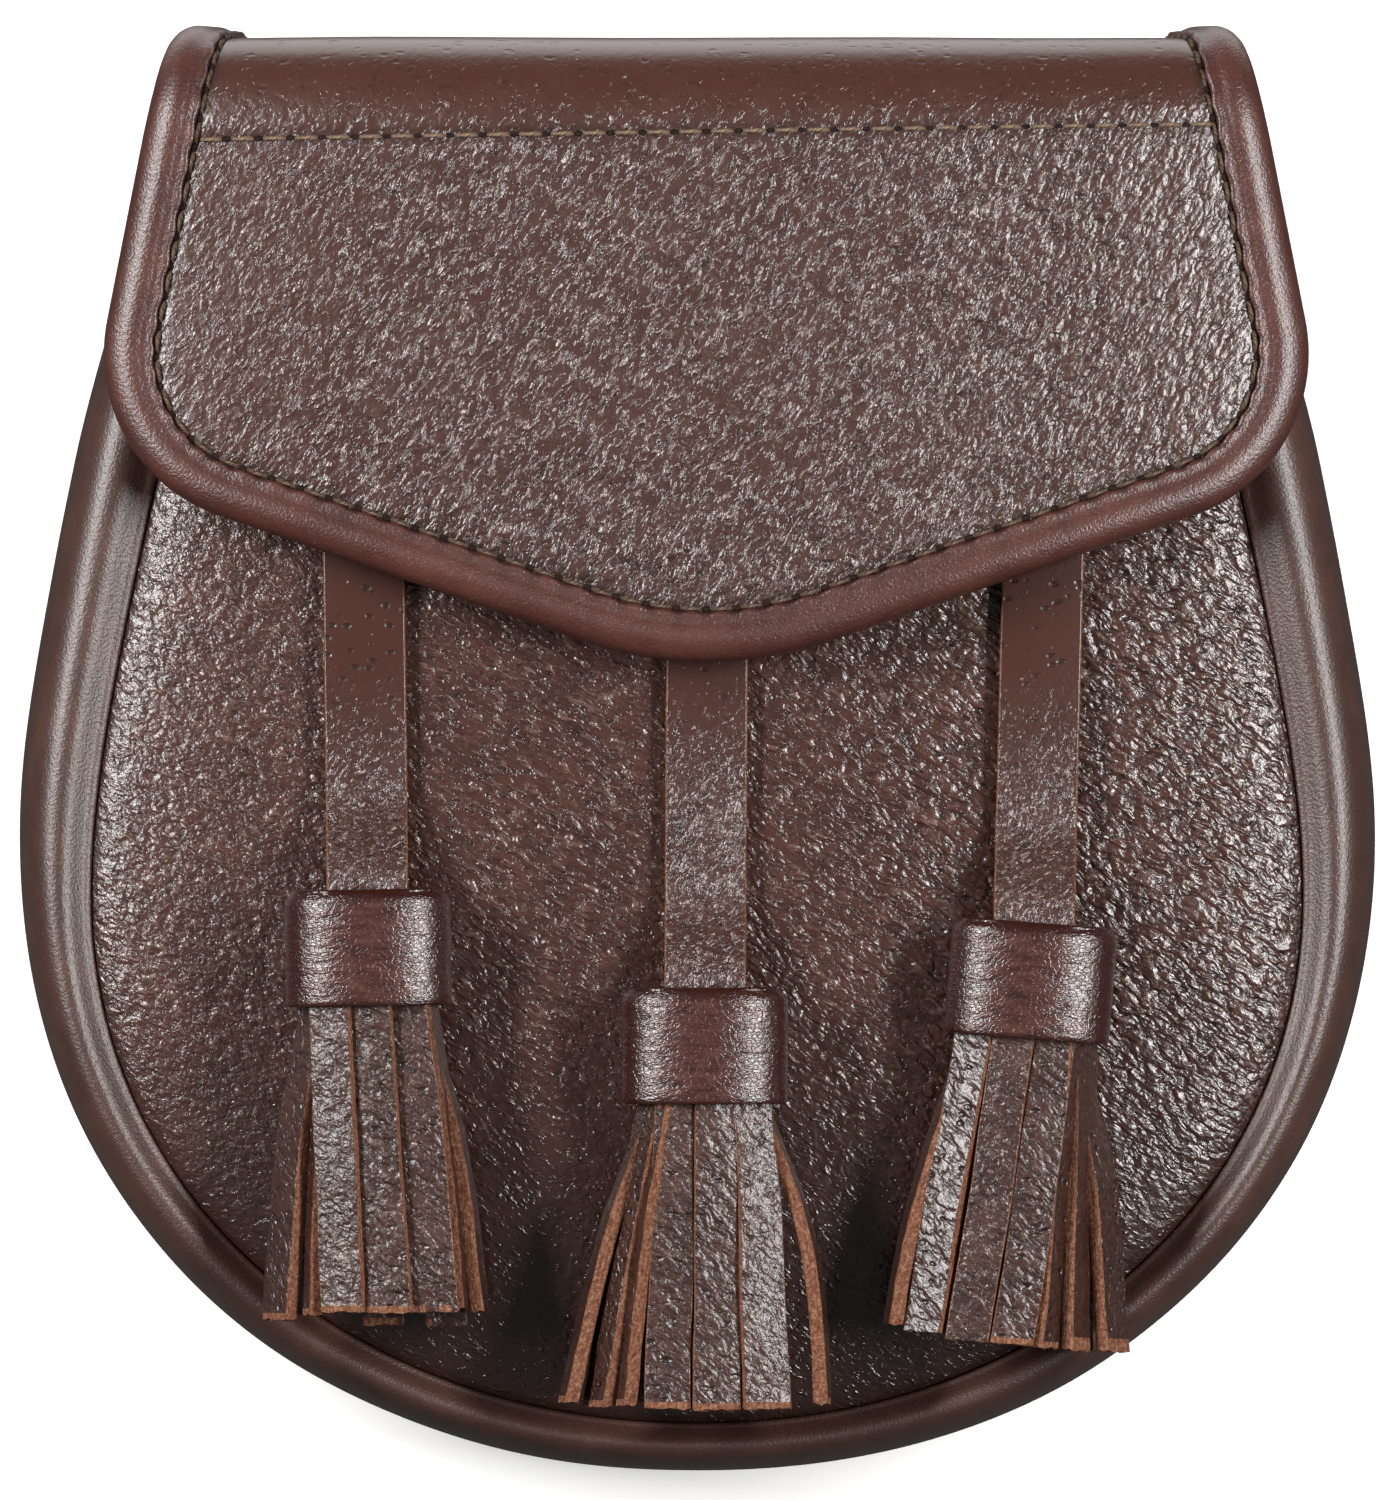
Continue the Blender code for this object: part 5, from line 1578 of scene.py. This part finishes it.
def make_back(material, thread, hole_shade):
    """The flat back of smooth leather, its edge rounded off and a groove cut for its stitches."""
    outline = back_outline(0, 30, 90)
    rows, marks = [], []
    for reach, inset, lift in BACK_SECTION:
        row, row_marks = [], []
        for point in outline:
            place = BACK_MIDDLE.lerp(point, reach)
            place += (BACK_MIDDLE - place).normalized() * inset
            from_edge = (point - place).length
            groove = BACK_GROOVE_DEPTH * bell(from_edge - BACK_STITCH_INSET, BACK_GROOVE_WIDTH)
            z = back_z(place.y) + lift + (groove if lift < BACK_ROUND_OVER else 0)
            row.append(Vector((*place, z)))
            # Painted shade at the rounded rim and down the stitch groove.
            row_marks.append({"painted_shade": 0.6 * bell(from_edge, 1.2 * MM) + 0.4 * groove / MM})
        rows.append(row)
        marks.append(row_marks)
    back = skin("back_leather", rows, span=BACK_SPAN, marks=marks)
    dress(back, [material], "band_leather", "back_panel")
    seam = back_outline(BACK_STITCH_INSET, 40, 120)
    low = [point for point in seam if point.y < FLAP_FOLD_Y - FLAP_TONGUE - 2 * MM]
    low = low + low[:1]
    start = max(range(len(low) - 1), key=lambda i: (low[i + 1] - low[i]).length)
    line = low[start + 1 : -1] + low[: start + 1]
    holes = spaced(line, round(line_length(line) / STITCH_PITCH))
    places = [Vector((*p, back_z(p.y) + THREAD_RADIUS)) for p in holes]
    sew("back", places, [BACK_OUT] * len(places), thread, hole_shade)


LOOP_STITCHES = 5
LOOP_STITCH_INSET = 2.2 * MM
LOOP_STITCH_SUNK = 0.1 * MM


def make_belt_loop(side, centre_x, leather, edge, thread, hole_shade):
    """A strap sewn to the back at both ends, rounded where it rises over the belt."""
    low, high = LOOP_FLAT_Y
    bottom, top = low - LOOP_RAMP, high + LOOP_RAMP
    down = LOOP_WALL + GAP
    sewn = [
        Vector((y, back_z(y) - down))
        for y in (bottom - LOOP_SEWN_END, bottom, top, top + LOOP_SEWN_END)
    ]
    faces = sewn[:2] + [Vector((low, 0)), Vector((high, 0))] + sewn[2:]
    line = []
    for start, end in zip(faces, faces[1:]):
        line += [start.lerp(end, i / 10) for i in range(10)]
    line.append(faces[-1])
    section, kinds = leather_ring(LOOP_WIDTH, LOOP_WALL, 16, corner=0.35 * MM)
    rows = []
    for y, z in reversed(line):
        z += LOOP_WALL / 2
        rows.append([Vector((centre_x + corner.x, y, z + corner.y)) for corner in section])
    loop = skin(
        f"sewn_loop_{side}",
        closed_rows(rows),
        span=(2 * (LOOP_WIDTH + LOOP_WALL), 50 * MM),
        slots=kinds,
    )
    dress(loop, [leather, edge], "band_leather", f"belt_loop_{side}", smooth_below=60)
    half = LOOP_WIDTH / 2 - LOOP_STITCH_INSET
    for end, y in (("low", bottom - LOOP_SEWN_END / 2), ("high", top + LOOP_SEWN_END / 2)):
        z = back_z(y) - down + LOOP_STITCH_SUNK
        row_ends = [Vector((centre_x + across, y, z)) for across in (-half, half)]
        places = spaced(row_ends, LOOP_STITCHES)
        sew(f"loop_{side}_{end}", places, [BACK_OUT] * len(places), thread, hole_shade)


# --- Floor, light and camera ---

PHOTO_HEIGHT = 0.21045  # what the photograph shows from top to bottom
PHOTO_MIDDLE = Vector((-0.14 * MM, -0.14 * MM))
FOCUS_Z = 20 * MM
CAMERA_DISTANCE = 5.0
SENSOR_HEIGHT = 24.0

Softbox = namedtuple("Softbox", "name place size watts")

SOFTBOXES = (
    Softbox("above_left", (-0.72, 0.3, 0.64), (0.18, 0.6), 11.2),
    Softbox("to_the_right", (0.66, 0.08, 0.7), (0.16, 0.56), 9.2),
)

WORLD_COLOUR = "#f4f2f0"
WORLD_STRENGTH = 0.12
FLOOR_SIZE = 6.0
FLOOR_PAINT = "#f6f5f3"
FLOOR_GLOW = 0.45
CARD_SIZE = (0.22, 0.09)
CARD_PLACE = (0, 0.165, 1 * MM)
CARD_GLOW = 0.72


def make_camera():
    """A long lens straight above the front, framed as the photograph is."""
    camera = bpy.data.cameras.new("camera")
    camera.sensor_fit = "VERTICAL"
    camera.sensor_height = SENSOR_HEIGHT
    camera.lens = SENSOR_HEIGHT * CAMERA_DISTANCE / PHOTO_HEIGHT
    eye = bpy.data.objects.new("camera", camera)
    eye.location = (*PHOTO_MIDDLE, FOCUS_Z + CAMERA_DISTANCE)
    bpy.context.scene.collection.objects.link(eye)
    bpy.context.scene.camera = eye


def upright(place):
    """A turn that faces the pouch from this place and keeps a softbox's long side along Y."""
    out = place.normalized()
    across = Vector((0, 1, 0)).cross(out).normalized()
    return Matrix((across, out.cross(across), out)).transposed()


def make_lights():
    """Two tall softboxes beside the pouch in a dim white room."""
    world = bpy.data.worlds.new("studio")
    world.use_nodes = True
    backdrop = world.node_tree.nodes["Background"]
    backdrop.inputs["Color"].default_value = colour(WORLD_COLOUR)
    backdrop.inputs["Strength"].default_value = WORLD_STRENGTH
    bpy.context.scene.world = world
    for softbox in SOFTBOXES:
        light = bpy.data.lights.new(softbox.name, "AREA")
        light.shape = "RECTANGLE"
        light.size, light.size_y = softbox.size
        light.energy = softbox.watts
        lamp = bpy.data.objects.new(softbox.name, light)
        lamp.location = softbox.place
        lamp.rotation_euler = upright(Vector(softbox.place)).to_euler()
        bpy.context.scene.collection.objects.link(lamp)


def lay_card(name, finish, size, place, glow, unseen_by):
    """A flat matt card that glows a little and that these kinds of ray don't see."""
    bpy.ops.object.select_all(action="DESELECT")
    bpy.ops.mesh.primitive_plane_add(size=1, location=place)
    card = bpy.context.object
    card.name = name
    card.scale = (*size, 1)
    bpy.ops.object.transform_apply(location=True, rotation=False, scale=True)
    material, _, shader, _ = new_material(finish, 0.9, specular=0.1)
    shader.inputs["Emission Color"].default_value = colour("#ffffff")
    shader.inputs["Emission Strength"].default_value = glow
    card.data.materials.append(material)
    for ray in unseen_by:
        setattr(card, f"visible_{ray}", False)
    return shader


def make_studio():
    """The pale floor, and a card behind the top that only shows as the fold's far gleam."""
    floor = lay_card(
        "floor", "matt_card", (FLOOR_SIZE, FLOOR_SIZE), (0, 0, 0), FLOOR_GLOW, ("diffuse", "glossy")
    )
    floor.inputs["Base Color"].default_value = colour(FLOOR_PAINT)
    unseen_by = ("camera", "diffuse", "shadow")
    lay_card("reflector_card", "white_card", CARD_SIZE, CARD_PLACE, CARD_GLOW, unseen_by)


def main():
    """Mixes the finishes, sets up the studio and makes every piece of the pouch."""
    flap_grain = grained_leather(
        "pigskin_grain_cowhide_flap",
        FLAP_GRAIN,
        tones=("#3f231c", "#442821", "#4a2f28"),
        plain_tone="#4a281d",
        painted_highlight_tone="#8a766e",
    )
    # The front's plain tone is darker than its body: where it is marked plain, low down, that is
    # painted shade.
    front_grain = grained_leather(
        "pigskin_grain_cowhide_front",
        FRONT_GRAIN,
        tones=("#3b1e16", "#42231b", "#4a2a21"),
        plain_tone="#2c1a16",
        painted_highlight_tone="#7c6258",
    )
    strap_grain = grained_leather(
        "pigskin_grain_cowhide_strap",
        STRAP_GRAIN,
        tones=("#3e231c", "#442821", "#4a2f28"),
        plain_tone="#421f15",
        painted_highlight_tone="#8a766e",
    )
    strip_grain = grained_leather(
        "pigskin_grain_cowhide_strips",
        STRIP_GRAIN,
        tones=("#341a13", "#3f231b", "#4a2e26"),
        plain_tone="#3c221a",
        painted_highlight_tone="#846f66",
    )
    band_leather = smooth_leather(
        "bridle_leather_band",
        tones=("#3c231c", "#452921", "#503128"),
        fleck_tone="#62463d",
        painted_shade_tone="#26110b",
        roughness=0.42,
        relief=0.1,
    )
    binding_leather = smooth_leather(
        "bridle_leather_binding",
        tones=("#421d16", "#4c241c", "#572d24"),
        fleck_tone="#6f4e45",
        painted_shade_tone="#2c0f0a",
        roughness=0.38,
        relief=0.12,
    )
    cap_leather = creased_leather("glazed_calf", ("#2c130e", "#48251f", "#56342d"), "#300e07")
    suede = raw_edge("veg_tanned_raw_edge", ("#512f21", "#7b4f3b", "#a27a60"))
    thread = linen_thread("waxed_linen_thread", ("#33241b", "#6c5645", "#98826d"))
    # A darker copy of the thread, painted shade for the stitches down in the binding's groove.
    shaded_thread = linen_thread("shaded_waxed_linen_thread", ("#241711", "#4a372b", "#7a6553"))
    hole_shade = painted_hole_shade("awl_hole_painted_shade")
    make_camera()
    make_lights()
    make_studio()
    make_side_band(band_leather)
    make_front(front_grain)
    make_flap(flap_grain)
    make_binding(binding_leather, shaded_thread, hole_shade)
    make_cross_stitches(thread, hole_shade)
    for tassel in TASSELS:
        make_strap(tassel, strap_grain, suede)
        make_cap(tassel, cap_leather)
        make_fringe(tassel, strip_grain, suede)
    make_back(band_leather, thread, hole_shade)
    make_belt_loop("left", -LOOP_CENTRE_X, band_leather, suede, thread, hole_shade)
    make_belt_loop("right", LOOP_CENTRE_X, band_leather, suede, thread, hole_shade)
    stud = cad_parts["snap_stud"]
    stud.data.materials.clear()
    stud.data.materials.append(turned_brass("lacquered_brass_stud"))
    bpy.context.scene.view_settings.view_transform = "Standard"


main()
